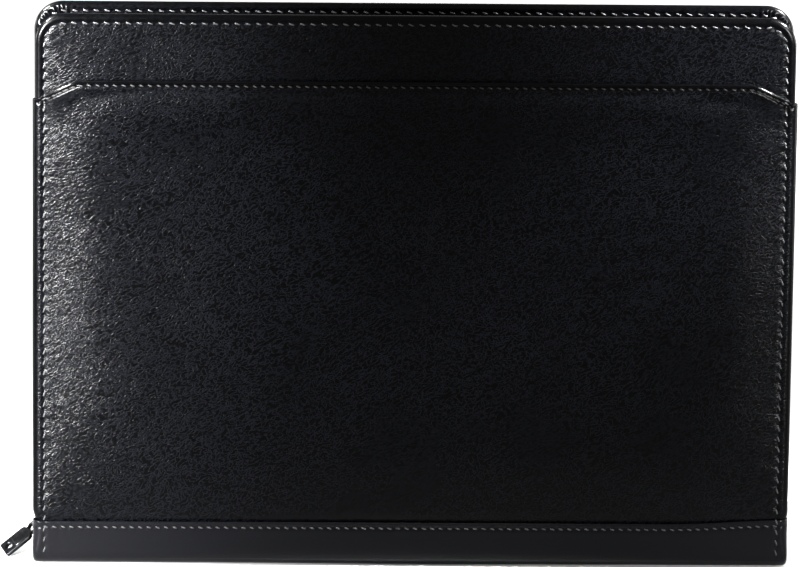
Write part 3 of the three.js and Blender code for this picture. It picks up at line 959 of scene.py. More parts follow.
@dataclass
class Cover:
    """A padded cover: its face, the rim rolled round its edge and the hem turned in behind it."""

    form: CaseForm
    side: Side
    node: str
    half_width: float
    depth: float
    seam: RimSeam
    face: tuple[float, ...] = (13.0, 10.8, 8.8, 7.0, 5.6, 4.2, 3.1)
    roll: tuple[float, ...] = (90.0, 60.0, 30.0, 0.0, -30.0, -60.0, -90.0)
    hem: tuple[float, ...] = (3.1, 4.2, 5.6, 7.2, 9.0)
    hem_step: float = 0.8
    pleats: int = 7
    pleat_depth: float = 0.6
    pleat_spill: float = 9.0
    pressed: float = 0.45
    pressed_up_to: tuple[float, float] = (212.0, 222.0)

    @property
    def roll_start(self) -> int:
        """Number of the first mark on the rolled rim."""
        return len(self.face)

    @property
    def hem_start(self) -> int:
        """Number of the first mark on the hem."""
        return len(self.face) + len(self.roll)

    def marks(self) -> int:
        """Marks across the edge of the sheet, from its core to the end of the hem."""
        return self.hem_start + len(self.hem) + 1

    def section(self, mark: np.ndarray, height: np.ndarray) -> tuple[np.ndarray, np.ndarray]:
        """Section of the cover.

        Args:
            mark: Numbers of the marks across the edge.
            height: Heights of the points.

        Returns:
            Insets from the edge, and depths from the middle of the case.
        """
        setback = self.form.setback(height)
        radius = (self.form.rim - setback) / 2
        hem = (*self.hem, self.hem[-1] + 0.4)
        known = np.array([*self.face, *[0.0] * len(self.roll), *hem])
        angles = np.radians([*[0.0] * len(self.face), *self.roll, *[0.0] * len(hem)])[mark]
        rolled_inset = setback + radius - radius * np.cos(angles)
        rolled_depth = self.depth - setback - radius + radius * np.sin(angles)
        step = self.hem_step * (mark == self.marks() - 1)
        on_roll = (mark >= self.roll_start) & (mark < self.hem_start)
        on_hem = mark >= self.hem_start
        inset = np.where(on_roll, rolled_inset, known[mark])
        flat = np.where(on_hem, self.depth - self.form.rim + step, self.depth - setback)
        return inset, np.where(on_roll, rolled_depth, flat)

    def build(self, padding: Padding) -> bpy.types.Object:
        """Cut the sheet, fold it, swell it and close it.

        Args:
            padding: The foam behind the face.

        Returns:
            The piece.
        """
        form = self.form
        corner = form.corner
        core_x = self.half_width - corner
        core_z = form.height - corner
        count = self.marks()
        column_mark, column_x, sign = sheet_columns(core_x, form.spacing, count - 1)
        foot = form.foot_rows()
        upper = np.linspace(foot[-1], core_z, int(round((core_z - foot[-1]) / form.spacing)) + 1)[1:]
        row_z = np.concatenate([foot, upper, np.full(count - 1, core_z)])
        row_mark = np.concatenate([np.zeros(len(foot) + len(upper), int), np.arange(1, count)])
        flip = -float(self.side.value)
        found: dict[str, np.ndarray] = {}

        def fold(column: np.ndarray, row: np.ndarray) -> np.ndarray:
            """Fold the flat sheet over the rim."""
            over = column_mark[column]
            up = row_mark[row]
            mark = np.maximum(over, up)
            ratio = np.minimum(over, up) / np.maximum(mark, 1)
            angle = np.where(over >= up, ratio * np.pi / 4, np.pi / 2 - ratio * np.pi / 4)
            inset, depth = self.section(mark, row_z[row])
            reach = (corner - inset) * (mark > 0)
            x = column_x[column] + sign[column] * reach * np.cos(angle)
            z = row_z[row] + reach * np.sin(angle)
            found["mark"] = mark
            on_face = mark < self.roll_start
            real_inset, _ = self.seam.track.locate(x, z)
            share = padding.start_share
            rise = form.rise(real_inset, z) * share
            covered = (self.side is Side.FRONT) * (1.0 - smoothstep(z, *self.pressed_up_to))
            depth = depth + on_face * rise * (1.0 - self.pressed * covered)
            return np.c_[flip * x, self.side.value * depth, z]

        piece = Bench.cut_sheet(self.node + "_leather", len(column_x), len(row_z), fold)
        Bench.keep_mark(piece, "mark", found["mark"])
        points = Bench.points(piece) / MM
        inset, _ = self.seam.track.locate(points[:, 0], points[:, 2])
        held = (found["mark"] >= self.roll_start) | (inset <= form.stitch_inset + 0.1)
        held |= points[:, 2] <= form.band_top + form.band_dip + 0.1
        under = 1.0 - self.pressed * (self.side is Side.FRONT)
        padding.swell(piece, held, form.crown * (1.0 - padding.start_share) * (0.5 + 0.5 * under))
        Bench.modify(piece, "SUBSURF", levels=1, render_levels=1)
        Bench.refine(piece, lambda middle: self.seam.near(middle[:, 0], middle[:, 2], 5.0), form.finest)
        self.draw_in(piece)
        lowest = Bench.points(piece)[:, 2] < (form.cover_foot + 0.05) * MM
        Bench.close(piece, lowest)
        Bench.smooth(piece, 60.0)
        return piece

    def draw_in(self, piece: bpy.types.Object) -> None:
        """Draw the leather in along the seam and gather the hem round the top corners."""
        points = Bench.points(piece) / MM
        mark = Bench.mark(piece, "mark")
        x, z = points[:, 0], points[:, 2]
        on_face = 1.0 - smoothstep(mark, self.roll_start, self.roll_start + 1.0)
        on_hem = smoothstep(mark, self.hem_start - 2.0, self.hem_start + 0.5)
        sink = self.seam.sink(x, z)
        core_x, core_z = self.seam.track.core
        angle = np.arctan2(np.maximum(z - core_z, 0.0), np.maximum(np.abs(x) - core_x, 1e-9))
        along = angle * (self.form.corner - self.form.stitch_inset)
        spill = np.maximum(core_x - np.abs(x), core_z - z)
        window = 1.0 - smoothstep(spill, 0.0, self.pleat_spill)
        window *= np.where(z > core_z - self.pleat_spill, 1.0, 0.0)
        beat = 2 * np.pi * self.pleats * (along + 0.5 * np.sin(along * 0.9 + 1.1)) / (
            (self.form.corner - self.form.stitch_inset) * np.pi / 2
        )
        beat = np.where(angle >= np.pi / 2 - 1e-6, beat + (core_x - np.abs(x)) * 2.6, beat)
        ridge = (0.5 + 0.5 * np.cos(beat)) ** 1.4
        gather = on_hem * window * self.pleat_depth * (ridge - 0.35)
        outward = float(self.side.value)
        points[:, 1] += outward * (-sink * on_face + 0.7 * sink * on_hem * (1.0 - window) - gather)
        Bench.place(piece, points)
        rim = smoothstep(mark, self.roll_start - 2.0, self.roll_start - 1.0)
        Bench.keep_mark(piece, "calm", rim * (0.9 - 0.5 * on_hem * (1.0 - window)))


@dataclass
class Pocket:
    """The slip pocket: one layer over the front cover, wrapped round its side rims."""

    form: CaseForm
    cover: Cover
    node: str = "front_pocket"
    top: float = 225.0
    slant_start: float = 151.5
    slant_slope: float = 0.5
    slant_rounding: float = 3.2
    wrap: tuple[float, ...] = (3.1, 4.6)
    mouth: tuple[float, ...] = (12.0, 9.2, 7.2, 5.6, 4.4, 3.4, 2.65, 2.1, 1.6, 1.1, 0.6, 0.2, 0.0)
    mouth_lift: float = 0.65
    bead: float = 0.9
    bead_width: float = 2.0
    seam_drop: float = 2.65

    def mouth_height(self, x: np.ndarray) -> np.ndarray:
        """Height of the mouth: level in the middle, slanting down to the rims."""
        past = np.abs(x) - self.slant_start
        bend = self.slant_rounding
        curve = np.clip(past + bend, 0.0, 2 * bend) ** 2 / (4 * bend)
        ramp = np.where(past > bend, past, curve)
        return self.top - self.slant_slope * ramp

    def hem_profile(self, x: np.ndarray, z: np.ndarray) -> np.ndarray:
        """How far the folded edge of the mouth stands out, and the hollow between it and its row.

        Args:
            x: The points' X.
            z: The points' Z.

        Returns:
            The rise at each point.
        """
        slanted = smoothstep(np.abs(x), self.slant_start - 2.0, self.slant_start + 2.0)
        below = (self.mouth_height(x) - z) * (1.0 - slanted * 0.105)
        across = np.clip(below / self.bead_width, 0.0, 1.0) * 2.0 - 1.0
        fold = self.bead * (0.7 + 0.6 * slanted) * np.sqrt(1.0 - across**2)
        hollow = 0.35 * np.exp(-(((below - self.bead_width - 0.3) / 0.5) ** 2))
        return fold - hollow

    def seam(self) -> LevelSeam:
        """The row below the mouth."""
        half = self.cover.half_width - self.form.stitch_inset
        closer = {"close_from": self.slant_start, "closer": 0.36}
        return LevelSeam(lambda x: self.mouth_height(x) - self.seam_drop, half, **closer)

    def build(self, padding: Padding) -> bpy.types.Object:
        """Cut the layer, fold it over the rims, swell it and give it its thickness.

        Args:
            padding: The foam of the cover behind it.

        Returns:
            The piece.
        """
        form, cover = self.form, self.cover
        lift = form.lap
        core_x = cover.half_width - form.corner
        face = np.array(cover.face)
        count = cover.hem_start + len(self.wrap)
        column_mark, column_x, sign = sheet_columns(core_x, form.spacing, count - 1)
        foot = np.array(form.foot_rows())
        span = self.top - self.mouth[0] - foot[-1]
        shares = np.linspace(0.0, 1.0, int(round(span / form.spacing)) + 1)[1:-1]
        rows = len(foot) + len(shares) + len(self.mouth)
        known = np.array([*face, *[0.0] * len(cover.roll), *self.wrap])
        angles = np.radians([*[0.0] * len(face), *cover.roll, *[0.0] * len(self.wrap)])
        found: dict[str, np.ndarray] = {}

        def fold(column: np.ndarray, row: np.ndarray) -> np.ndarray:
            """Fold the flat layer round the rims."""
            mark = column_mark[column]
            on_roll = (mark >= cover.roll_start) & (mark < cover.hem_start)
            on_wrap = mark >= cover.hem_start
            outer = cover.half_width - np.where(on_roll | on_wrap, -lift, known[mark])
            mouth_x = np.where(mark == 0, np.abs(column_x[column]), outer)
            mouth = self.mouth_height(mouth_x)
            share_row = row - len(foot)
            mouth_row = share_row - len(shares)
            padded_shares = np.concatenate([shares, [1.0]])
            share = padded_shares[np.clip(share_row, 0, len(shares))]
            middle = foot[-1] + share * (mouth - self.mouth[0] - foot[-1])
            drop = np.array(self.mouth)[np.clip(mouth_row, 0, len(self.mouth) - 1)]
            z = np.where(row < len(foot), foot[np.clip(row, 0, len(foot) - 1)], middle)
            z = np.where(mouth_row >= 0, mouth - drop, z)
            setback = form.setback(z)
            radius = (form.rim - setback) / 2
            turn = angles[mark]
            rolled_inset = setback + radius - (radius + lift) * np.cos(turn)
            rolled_depth = cover.depth - setback - radius + (radius + lift) * np.sin(turn)
            inset = np.where(on_roll, rolled_inset, known[mark])
            x = np.where(mark == 0, column_x[column], sign[column] * (cover.half_width - inset))
            real_inset = cover.half_width - np.abs(x)
            settled = padding.start_share
            top_share = smoothstep(z, mouth - 32.0, mouth - 8.0)
            share_of_rise = settled + (1.0 - settled) * top_share
            rise = form.rise(np.minimum(real_inset, form.height - z), z) * share_of_rise
            free = smoothstep(real_inset, form.stitch_inset, form.stitch_inset + 7.0)
            below = mouth - z
            gape = self.mouth_lift * free * (1.0 - smoothstep(below, 2.0, 11.0))
            flat = cover.depth - setback + lift + rise + gape
            inside = cover.depth - form.rim - lift
            depth = np.where(on_roll, rolled_depth, np.where(on_wrap, inside, flat))
            found["mark"] = mark
            found["below"] = below
            return np.c_[x, -depth, z]

        piece = Bench.cut_sheet(self.node + "_leather", len(column_x), rows, fold)
        Bench.keep_mark(piece, "mark", found["mark"])
        points = Bench.points(piece) / MM
        inset = cover.half_width - np.abs(points[:, 0])
        held = (found["mark"] >= cover.roll_start) | (inset <= form.stitch_inset + 0.1)
        held |= (points[:, 2] <= form.band_top + form.band_dip + 0.1) | (found["below"] < 6.0)
        padding.swell(piece, held, form.crown * (1.0 - padding.start_share))
        Bench.modify(piece, "SUBSURF", levels=1, render_levels=1)
        seams: list[Seam] = [cover.seam, self.seam()]

        def on_seam(middle: np.ndarray) -> np.ndarray:
            """Pick the places near a row."""
            return np.any([row.near(middle[:, 0], middle[:, 2], 5.0) for row in seams], axis=0)

        Bench.refine(piece, on_seam, form.finest)
        points = Bench.points(piece) / MM
        on_face = 1.0 - smoothstep(Bench.mark(piece, "mark"), cover.roll_start, cover.roll_start + 1.0)
        for row in seams:
            points[:, 1] += row.sink(points[:, 0], points[:, 2]) * on_face
        points[:, 1] -= self.hem_profile(points[:, 0], points[:, 2]) * on_face
        Bench.place(piece, points)
        below = self.mouth_height(points[:, 0]) - points[:, 2]
        hem = 1.0 - smoothstep(below, self.seam_drop - 0.4, self.seam_drop + 0.6)
        corner = smoothstep(np.abs(points[:, 0]), 148.0, 158.0) * (1.0 - smoothstep(below, 6.0, 17.0))
        Bench.keep_mark(piece, "calm", np.maximum(0.9 * np.maximum(hem, 1.0 - on_face), 0.4 * corner))
        Bench.modify(piece, "SOLIDIFY", thickness=form.leather * MM, offset=-1.0, use_rim=True)
        Bench.round_edges(piece, 0.3, 60.0)
        Bench.smooth(piece, 60.0)
        return piece

    def flat_size(self) -> tuple[float, float]:
        """Width and height of the cut, in metres."""
        roll = math.pi * (self.form.rim / 2 + self.form.lap)
        face = 2 * (self.cover.half_width - self.form.rim / 2)
        wrap = 2 * (roll + self.wrap[-1] - self.form.rim / 2)
        return (face + wrap) * MM, (self.top - self.form.cover_foot) * MM


@dataclass
class SpineBand:
    """The band round the spine: a channel of one layer whose ends roll in round the side rims."""

    form: CaseForm
    front: Cover
    back: Cover
    node: str = "spine_band"
    corner: float = 6.5
    end_roll: float = 2.2
    hem_end: float = 5.85
    lift_right: float = 2.2
    seam_drop: float = 2.8
    drops: tuple[float, ...] = (0.0, 0.4, 1.0, 1.9, 2.8, 3.7, 5.0, 6.8, 9.0, 11.0)
    bead: float = 0.4
    bead_width: float = 1.7
    ends: tuple[float, ...] = (10.0, 7.0, 5.2)
    corner_steps: int = 7
    base_steps: int = 6
    outer_face: tuple[float, float] = (15.0, 17.0)

    def top_at(self, x: np.ndarray) -> np.ndarray:
        """Height of the front flange's edge, which climbs a little towards the right end."""
        return self.form.band_top + self.lift_right * smoothstep(x, 118.0, 172.0)

    def seams(self) -> list[LevelSeam]:
        """The rows along the front flange and along the back one."""
        half = self.form.half_width - self.form.stitch_inset
        front = LevelSeam(lambda x: self.top_at(x) - self.seam_drop, half)
        back = LevelSeam(lambda x: 0 * x + self.form.band_top - self.seam_drop, half)
        return [front, back]

    def path(self) -> tuple[np.ndarray, np.ndarray, np.ndarray, np.ndarray]:
        """Section of the channel from the back edge, round the foot, to the front edge.

        Returns:
            Points as Y and Z, directions inwards, radii of the rolled ends, and shares of the front's climb.
        """
        form = self.form
        front_face = -(self.front.depth + form.lap)
        back_face = self.back.depth
        cover_roll = (form.rim - form.lap) / 2
        down = [form.band_top - drop for drop in self.drops]
        angles = np.linspace(0.0, np.pi / 2, self.corner_steps + 1)
        rows: list[tuple[float, ...]] = []
        for z in down:
            ease = float(smoothstep(z, self.corner, 14.0))
            roll = self.end_roll + (cover_roll + form.lap - self.end_roll) * ease
            rows.append((back_face, z, -1.0, 0.0, roll, 0.0))
        for angle in angles:
            y = back_face - self.corner + self.corner * math.cos(angle)
            z = self.corner - self.corner * math.sin(angle)
            rows.append((y, z, -math.cos(angle), math.sin(angle), self.end_roll, 0.0))
        span = np.linspace(back_face - self.corner, front_face + self.corner, self.base_steps + 1)[1:-1]
        rows += [(float(y), 0.0, 0.0, 1.0, self.end_roll, 0.0) for y in span]
        for angle in angles[::-1]:
            y = front_face + self.corner - self.corner * math.cos(angle)
            z = self.corner - self.corner * math.sin(angle)
            rows.append((y, z, math.cos(angle), math.sin(angle), self.end_roll, 0.0))
        for z in down[::-1]:
            ease = float(smoothstep(z, self.corner, 14.0))
            roll = self.end_roll + (cover_roll + 2 * form.lap - self.end_roll) * ease
            climb = float(smoothstep(z, self.corner + 3.0, form.band_top))
            rows.append((front_face, z, 1.0, 0.0, roll, climb))
        table = np.array(rows)
        return table[:, 0:2], table[:, 2:4], table[:, 4], table[:, 5]

    def build(self) -> bpy.types.Object:
        """Cut the layer, fold it into its channel and give it its thickness.

        Returns:
            The piece.
        """
        form = self.form
        angles = np.radians(np.linspace(90.0, -90.0, 7))
        flat = len(self.ends)
        count = flat + len(angles) + 1
        core_x = form.half_width - form.corner
        column_mark, column_x, sign = sheet_columns(core_x, form.spacing, count)
        point, inward, roll, climb = self.path()

        def fold(column: np.ndarray, row: np.ndarray) -> np.ndarray:
            """Fold the flat layer into the channel."""
            mark = column_mark[column]
            radius = roll[row]
            angle = angles[np.clip(mark - 1 - flat, 0, len(angles) - 1)]
            flat_end = np.array(self.ends)[np.clip(mark - 1, 0, flat - 1)]
            last = mark == count
            rolled = (mark > flat) & ~last
            end = np.where(rolled, radius * (1.0 - np.cos(angle)), np.where(last, self.hem_end, flat_end))
            deep = np.where(rolled, radius * (1.0 - np.sin(angle)), np.where(last, 2 * radius, 0.0))
            x = np.where(mark == 0, column_x[column], sign[column] * (form.half_width - end))
            y = point[row, 0] + inward[row, 0] * deep
            z = point[row, 1] + inward[row, 1] * deep
            z = z + climb[row] * (self.top_at(x) - form.band_top)
            return np.c_[x, y, z]

        piece = Bench.cut_sheet(self.node + "_leather", len(column_x), len(point), fold)
        Bench.modify(piece, "SUBSURF", levels=1, render_levels=1)
        rows: list[tuple[Side, Seam]] = [
            (Side.FRONT, self.seams()[0]),
            (Side.BACK, self.seams()[1]),
            (Side.FRONT, self.front.seam),
            (Side.BACK, self.back.seam),
        ]

        def on_seam(middle: np.ndarray) -> np.ndarray:
            """Pick the places near a row."""
            outer = [middle[:, 1] * side.value > 14.0 for side, _ in rows]
            close = [row.near(middle[:, 0], middle[:, 2], 3.5) for _, row in rows]
            return np.any([*np.logical_and(outer, close)], axis=0)

        Bench.refine(piece, on_seam, form.finest)
        points = Bench.points(piece) / MM
        for side, row in rows:
            outer = smoothstep(points[:, 1] * side.value, *self.outer_face)
            points[:, 1] -= side.value * outer * row.sink(points[:, 0], points[:, 2])
        top = np.where(points[:, 1] < 0.0, self.top_at(points[:, 0]), form.band_top)
        below = np.clip((top - points[:, 2]) / self.bead_width, 0.0, 1.0)
        outer = smoothstep(np.abs(points[:, 1]), *self.outer_face)
        points[:, 1] += np.sign(points[:, 1]) * outer * self.bead * np.sqrt(1.0 - (2.0 * below - 1.0) ** 2)
        Bench.place(piece, points)
        Bench.keep_mark(piece, "calm", 0.3 + 0.5 * (below >= 1.0))
        Bench.modify(piece, "SOLIDIFY", thickness=form.leather * MM, offset=-1.0, use_rim=True)
        Bench.round_edges(piece, 0.3, 60.0)
        Bench.smooth(piece, 60.0)
        return piece

    def flat_size(self) -> tuple[float, float]:
        """Width and length of the cut, in metres."""
        point, _, _, _ = self.path()
        length = float(np.linalg.norm(np.diff(point, axis=0), axis=1).sum())
        ends = 2 * (math.pi * self.end_roll + self.hem_end - 2 * self.end_roll)
        return (2 * self.form.half_width + ends) * MM, length * MM


@dataclass
class Stitching:
    """Thread: one stitch, modelled once and laid along every seam."""

    finish: bpy.types.Material
    radius: float = 0.4
    slant: float = 19.0
    share: float = 0.58
    proud: float = 0.16
    droop: float = 0.55

    def stitch(self, length: float) -> bpy.types.Object:
        """Model one stitch along X, standing on Z, its ends diving into their holes.

        Args:
            length: Length over its ends, in millimetres.

        Returns:
            The stitch.
        """
        Bench.clear()
        lying = (0.0, math.pi / 2, 0.0)
        bpy.ops.mesh.primitive_uv_sphere_add(segments=8, ring_count=6, radius=1.0, rotation=lying)
        model = bpy.context.active_object
        bpy.ops.object.transform_apply(rotation=True)
        points = Bench.points(model)
        along = np.sign(points[:, 0]) * np.abs(points[:, 0]) ** 0.8
        full = np.sqrt(np.clip(1.0 - points[:, 0] ** 2, 1e-9, 1.0))
        body = np.maximum(full, 1e-6)
        fuller = np.where(np.abs(points[:, 0]) < 0.99, np.maximum(body, 0.8) / body, 1.0)
        points[:, 1:] *= (fuller * self.radius)[:, None]
        points[:, 0] = along * length / 2
        points[:, 2] += self.proud - self.droop * along**4
        Bench.place(model, points)
        return model

    def sew(
        self, name: str, seam: Seam, layers: Sequence[bpy.types.Object], start: float, toward: Side
    ) -> bpy.types.Object:
        """Lay a row of stitches on the leather that the needle meets first.

        Args:
            name: The row's name.
            seam: Where it runs.
            layers: The leather that it may lie on.
            start: Y from which the needle comes, in millimetres.
            toward: The way that the needle goes.

        Returns:
            The row.
        """
        trees = [BVHTree.FromObject(layer, bpy.context.evaluated_depsgraph_get()) for layer in layers]
        holes = seam.holes()
        first, second = seam.at(holes[:-1]), seam.at(holes[1:])
        middle = (first + second) / 2
        along = second - first
        pitch = float(np.linalg.norm(along, axis=1).mean())
        needle = Vector((0.0, float(toward.value), 0.0))
        places: list[Matrix] = []
        for (x, z), (run_x, run_z) in zip(middle, along, strict=True):
            origin = Vector((x * MM, start * MM, z * MM))
            hits = [tree.ray_cast(origin, needle) for tree in trees]
            met = [hit for hit in hits if hit[0] is not None]
            if not met:
                continue
            place, normal, _, _ = min(met, key=lambda hit: hit[3])
            normal = -normal if normal.dot(needle) > 0 else normal
            run = Vector((run_x, 0.0, run_z)).normalized()
            lean = -self.slant if x > self.right_of(seam) else self.slant
            run = Matrix.Rotation(math.radians(lean * -toward.value), 3, normal) @ run
            side = normal.cross(run).normalized()
            run = side.cross(normal).normalized()
            turn = Matrix((run, side, normal)).transposed().to_4x4()
            places.append(Matrix.Translation(place) @ turn)
        row = Bench.copies(name, self.stitch(pitch * self.share), places)
        Bench.smooth(row, 80.0)
        Bench.dress(row, self.finish, Slot.LEATHER, Body.CASE)
        return row

    @staticmethod
    def right_of(seam: Seam) -> float:
        """X past which the stitches of a row lean the other way."""
        return seam.track.half_width - seam.track.corner if isinstance(seam, RimSeam) else math.inf


@dataclass
class Zip:
    """The zip: two woven tapes, their teeth, the slider and its pull."""

    form: CaseForm
    half_width: float
    front_depth: float
    back_depth: float
    inset: float = 5.0
    thickness: float = 0.8
    flange_inset: float = 11.5
    bend: float = 0.8
    gap: float = 0.3
    edge: float = 3.0
    shut_edge: float = 0.2
    tape_foot: float = 1.6
    chain_left: float = 12.7
    chain_right: float = 6.0
    slider_foot: float = 8.8
    pitch: float = 1.7
    tooth: tuple[float, float, float] = (0.8, 2.9, 1.9)

    def track(self, left: float, right: float) -> RimTrack:
        """A line along the zip between two feet."""
        form = self.form
        middle = self.inset + self.thickness / 2
        return RimTrack(self.half_width, form.height, form.corner, middle, left, right)

    def tape(self, side: Side, finish: bpy.types.Material) -> bpy.types.Object:
        """Cut one tape, bend it from the hem to the chain and give it its thickness.

        Args:
            side: The cover that it is sewn to.
            finish: Its material.

        Returns:
            The piece.
        """
        depth = self.front_depth if side is Side.FRONT else self.back_depth
        track = self.track(self.tape_foot, self.tape_foot)
        total = float(track.ends()[-1])
        travel = np.linspace(0.0, total, int(total / 3.2))
        core, outward = track.follow(travel)
        bend_inset = self.inset + self.thickness + self.bend
        bend_depth = depth - self.form.rim - self.gap - self.thickness - self.bend
        radius = self.bend + self.thickness
        turn = np.radians([90.0, 112.5, 135.0, 157.5, 180.0])
        flange = np.linspace(self.flange_inset, bend_inset, 4)[:-1]
        section = [(float(inset), bend_depth + radius) for inset in flange]
        section += [(bend_inset + radius * math.cos(a), bend_depth + radius * math.sin(a)) for a in turn]
        web = np.linspace(bend_depth, self.edge, 5)[1:]
        section += [(bend_inset - radius, float(d)) for d in web]
        table = np.array(section)

        def fold(column: np.ndarray, row: np.ndarray) -> np.ndarray:
            """Bend the flat tape along the hem."""
            place = core[column] + outward[column] * (self.form.corner - table[row, 0])[:, None]
            chain_end = np.where(place[:, 0] < 0, self.slider_foot, self.chain_right)
            shut = 1.0 - smoothstep(place[:, 1] - chain_end, -2.0, -0.4)
            inner = np.clip((bend_depth - table[row, 1]) / (bend_depth - self.edge), 0.0, 1.0)
            away = table[row, 1] - shut * inner * (self.edge - self.shut_edge)
            return np.c_[place[:, 0], side.value * away, place[:, 1]]

        node = "zip_tape_front" if side is Side.FRONT else "zip_tape_back"
        piece = Bench.cut_sheet(node + "_weave", len(travel), len(section), fold)
        Bench.modify(piece, "SOLIDIFY", thickness=self.thickness * MM, offset=1.0 * side.value, use_rim=True)
        Bench.smooth(piece, 50.0)
        Bench.dress(piece, finish, Slot.TAPE, Body.CASE, node)
        return piece

    def teeth(self, side: Side, finish: bpy.types.Material) -> bpy.types.Object:
        """Model one tooth and set it along one tape, in step with the other tape's teeth.

        Args:
            side: The tape that carries them.
            finish: Their material.

        Returns:
            The piece.
        """
        Bench.clear()
        bpy.ops.mesh.primitive_cube_add(size=1.0, scale=tuple(size * MM for size in self.tooth))
        model = bpy.context.active_object
        bpy.ops.object.transform_apply(scale=True)
        Bench.modify(model, "BEVEL", width=0.28 * MM, segments=1, limit_method="NONE")
        track = self.track(self.chain_left, self.chain_right)
        total = float(track.ends()[-1])
        travel = np.arange(0.0, total, self.pitch) + (self.pitch / 2 if side is Side.BACK else 0.0)
        travel = travel[travel < total]
        _, outward = track.follow(travel)
        where = track.points(travel)
        reach = side.value * (self.tooth[1] / 2 - 0.45)
        places = []
        for (x, z), (out_x, out_z) in zip(where, outward, strict=True):
            out = Vector((out_x, 0.0, out_z))
            across = Vector((0.0, 1.0, 0.0))
            turn = Matrix((across.cross(out), across, out)).transposed().to_4x4()
            places.append(Matrix.Translation(Vector((x, reach, z)) * MM) @ turn)
        node = "zip_coil_front" if side is Side.FRONT else "zip_coil_back"
        piece = Bench.copies(node + "_teeth", model, places)
        Bench.smooth(piece, 35.0)
        Bench.dress(piece, finish, Slot.TEETH, Body.CASE, node)
        return piece

    def metal(self, node: str, finish: bpy.types.Material, rounding: float, body: Body) -> bpy.types.Object:
        """Round the edges of a metal piece, on a copy of its solid.

        Args:
            node: The solid.
            finish: Its material.
            rounding: Width of its rounded edges, in millimetres.
            body: The body that it rides on.

        Returns:
            The piece.
        """
        piece = bpy.data.objects.new(node + "_metal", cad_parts[node].data.copy())
        bpy.context.scene.collection.objects.link(piece)
        Bench.pick(piece)
        bpy.ops.object.mode_set(mode="EDIT")
        bpy.ops.mesh.select_all(action="SELECT")
        bpy.ops.mesh.remove_doubles(threshold=0.001 * MM)
        bpy.ops.mesh.dissolve_limited(angle_limit=math.radians(2.0))
        bpy.ops.mesh.normals_make_consistent(inside=False)
        bpy.ops.object.mode_set(mode="OBJECT")
        Bench.round_edges(piece, rounding, 35.0)
        Bench.smooth(piece, 40.0)
        Bench.dress(piece, finish, Slot.METAL, body, node)
        return piece


@dataclass(frozen=True)
class Softbox:
    """A soft studio light: its place, aim and size in metres, its power and the width of its beam."""

    name: str
    place: tuple[float, float, float]
    aim: tuple[float, float, float]
    size: tuple[float, float]
    watts: float
    beam: float

    def hang(self) -> None:
        """Hang the light and aim it."""
        Bench.clear()
        bpy.ops.object.light_add(type="AREA", location=self.place)
        lamp = bpy.context.active_object
        lamp.name = self.name
        away = Vector(self.place) - Vector(self.aim)
        lamp.rotation_euler = away.to_track_quat("Z", "Y").to_euler()
        lamp.data.shape = "RECTANGLE"
        lamp.data.size, lamp.data.size_y = self.size
        lamp.data.energy = self.watts
        lamp.data.spread = math.radians(self.beam)
        lamp.visible_camera = False


@dataclass
class Studio:
    """The floor, the lights and the camera."""

    floor_size: float = 12.0
    room_glow: float = 0.6
    azimuth: float = -1.45
    elevation: float = 12.74
    distance: float = 2.98
    aim: tuple[float, float, float] = (-0.0057, 0.0, 0.1279)
    view_width: float = 0.3621
    roll: float = 0.67
    lights: tuple[Softbox, ...] = (
        Softbox("key_left", (-0.46, -0.55, 0.27), (-0.185, 0.0, 0.18), (0.1, 0.4), 3.7, 22.0),
        Softbox("rim_left", (-0.9, 0.2, 0.22), (-0.16, 0.02, 0.17), (0.35, 0.4), 0.9, 40.0),
        Softbox("high_left", (-1.0, -0.3, 1.05), (-0.15, 0.02, 0.15), (0.14, 0.14), 0.24, 22.0),
        Softbox("glint_left", (-0.95, -0.25, 1.05), (-0.158, 0.012, 0.238), (0.1, 0.1), 1.1, 6.5),
        Softbox("key_right", (0.48, -0.55, 0.27), (0.185, 0.0, 0.18), (0.1, 0.4), 0.42, 20.0),
        Softbox("rim_right", (0.9, 0.2, 0.22), (0.16, 0.02, 0.17), (0.35, 0.4), 0.9, 40.0),
        Softbox("high_right", (1.0, -0.3, 1.05), (0.15, 0.02, 0.15), (0.14, 0.14), 0.24, 22.0),
        Softbox("glint_right", (0.95, -0.25, 1.05), (0.158, 0.012, 0.238), (0.1, 0.1), 1.3, 6.5),
        Softbox("backdrop_left", (-1.0, 1.0, 1.4), (-0.3, 0.9, 0.0), (0.8, 0.8), 3.6, 64.0),
        Softbox("backdrop_right", (1.0, 1.0, 1.4), (0.3, 0.9, 0.0), (0.8, 0.8), 3.6, 64.0),
    )

    def floor(self) -> None:
        """Lay the floor."""
        Bench.clear()
        bpy.ops.mesh.primitive_plane_add(size=self.floor_size)
        floor = bpy.context.active_object
        floor.name = "floor"
        floor.data.materials.append(FloorFinish("floor_white").material())

    def light(self) -> None:
        """Hang the lights and set the room's own glow."""
        for softbox in self.lights:
            softbox.hang()
        world = bpy.data.worlds.new("studio")
        world.use_nodes = True
        room = world.node_tree.nodes["Background"]
        room.inputs["Color"].default_value = (1.0, 1.0, 1.0, 1.0)
        room.inputs["Strength"].default_value = self.room_glow
        bpy.context.scene.world = world
        bpy.context.scene.view_settings.view_transform = "Standard"

    def camera(self) -> None:
        """Set the camera at the photograph's viewing angle."""
        turn, rise = math.radians(self.azimuth), math.radians(self.elevation)
        away = Vector((math.sin(turn) * math.cos(rise), -math.cos(turn) * math.cos(rise), math.sin(rise)))
        Bench.clear()
        bpy.ops.object.camera_add(location=Vector(self.aim) + away * self.distance)
        eye = bpy.context.active_object
        eye.name = "camera"
        facing = away.to_track_quat("Z", "Y").to_matrix() @ Matrix.Rotation(math.radians(self.roll), 3, "Z")
        eye.rotation_euler = facing.to_euler()
        eye.data.sensor_fit = "HORIZONTAL"
        eye.data.sensor_width = 36.0
        eye.data.lens = 36.0 * self.distance / self.view_width
        bpy.context.scene.camera = eye


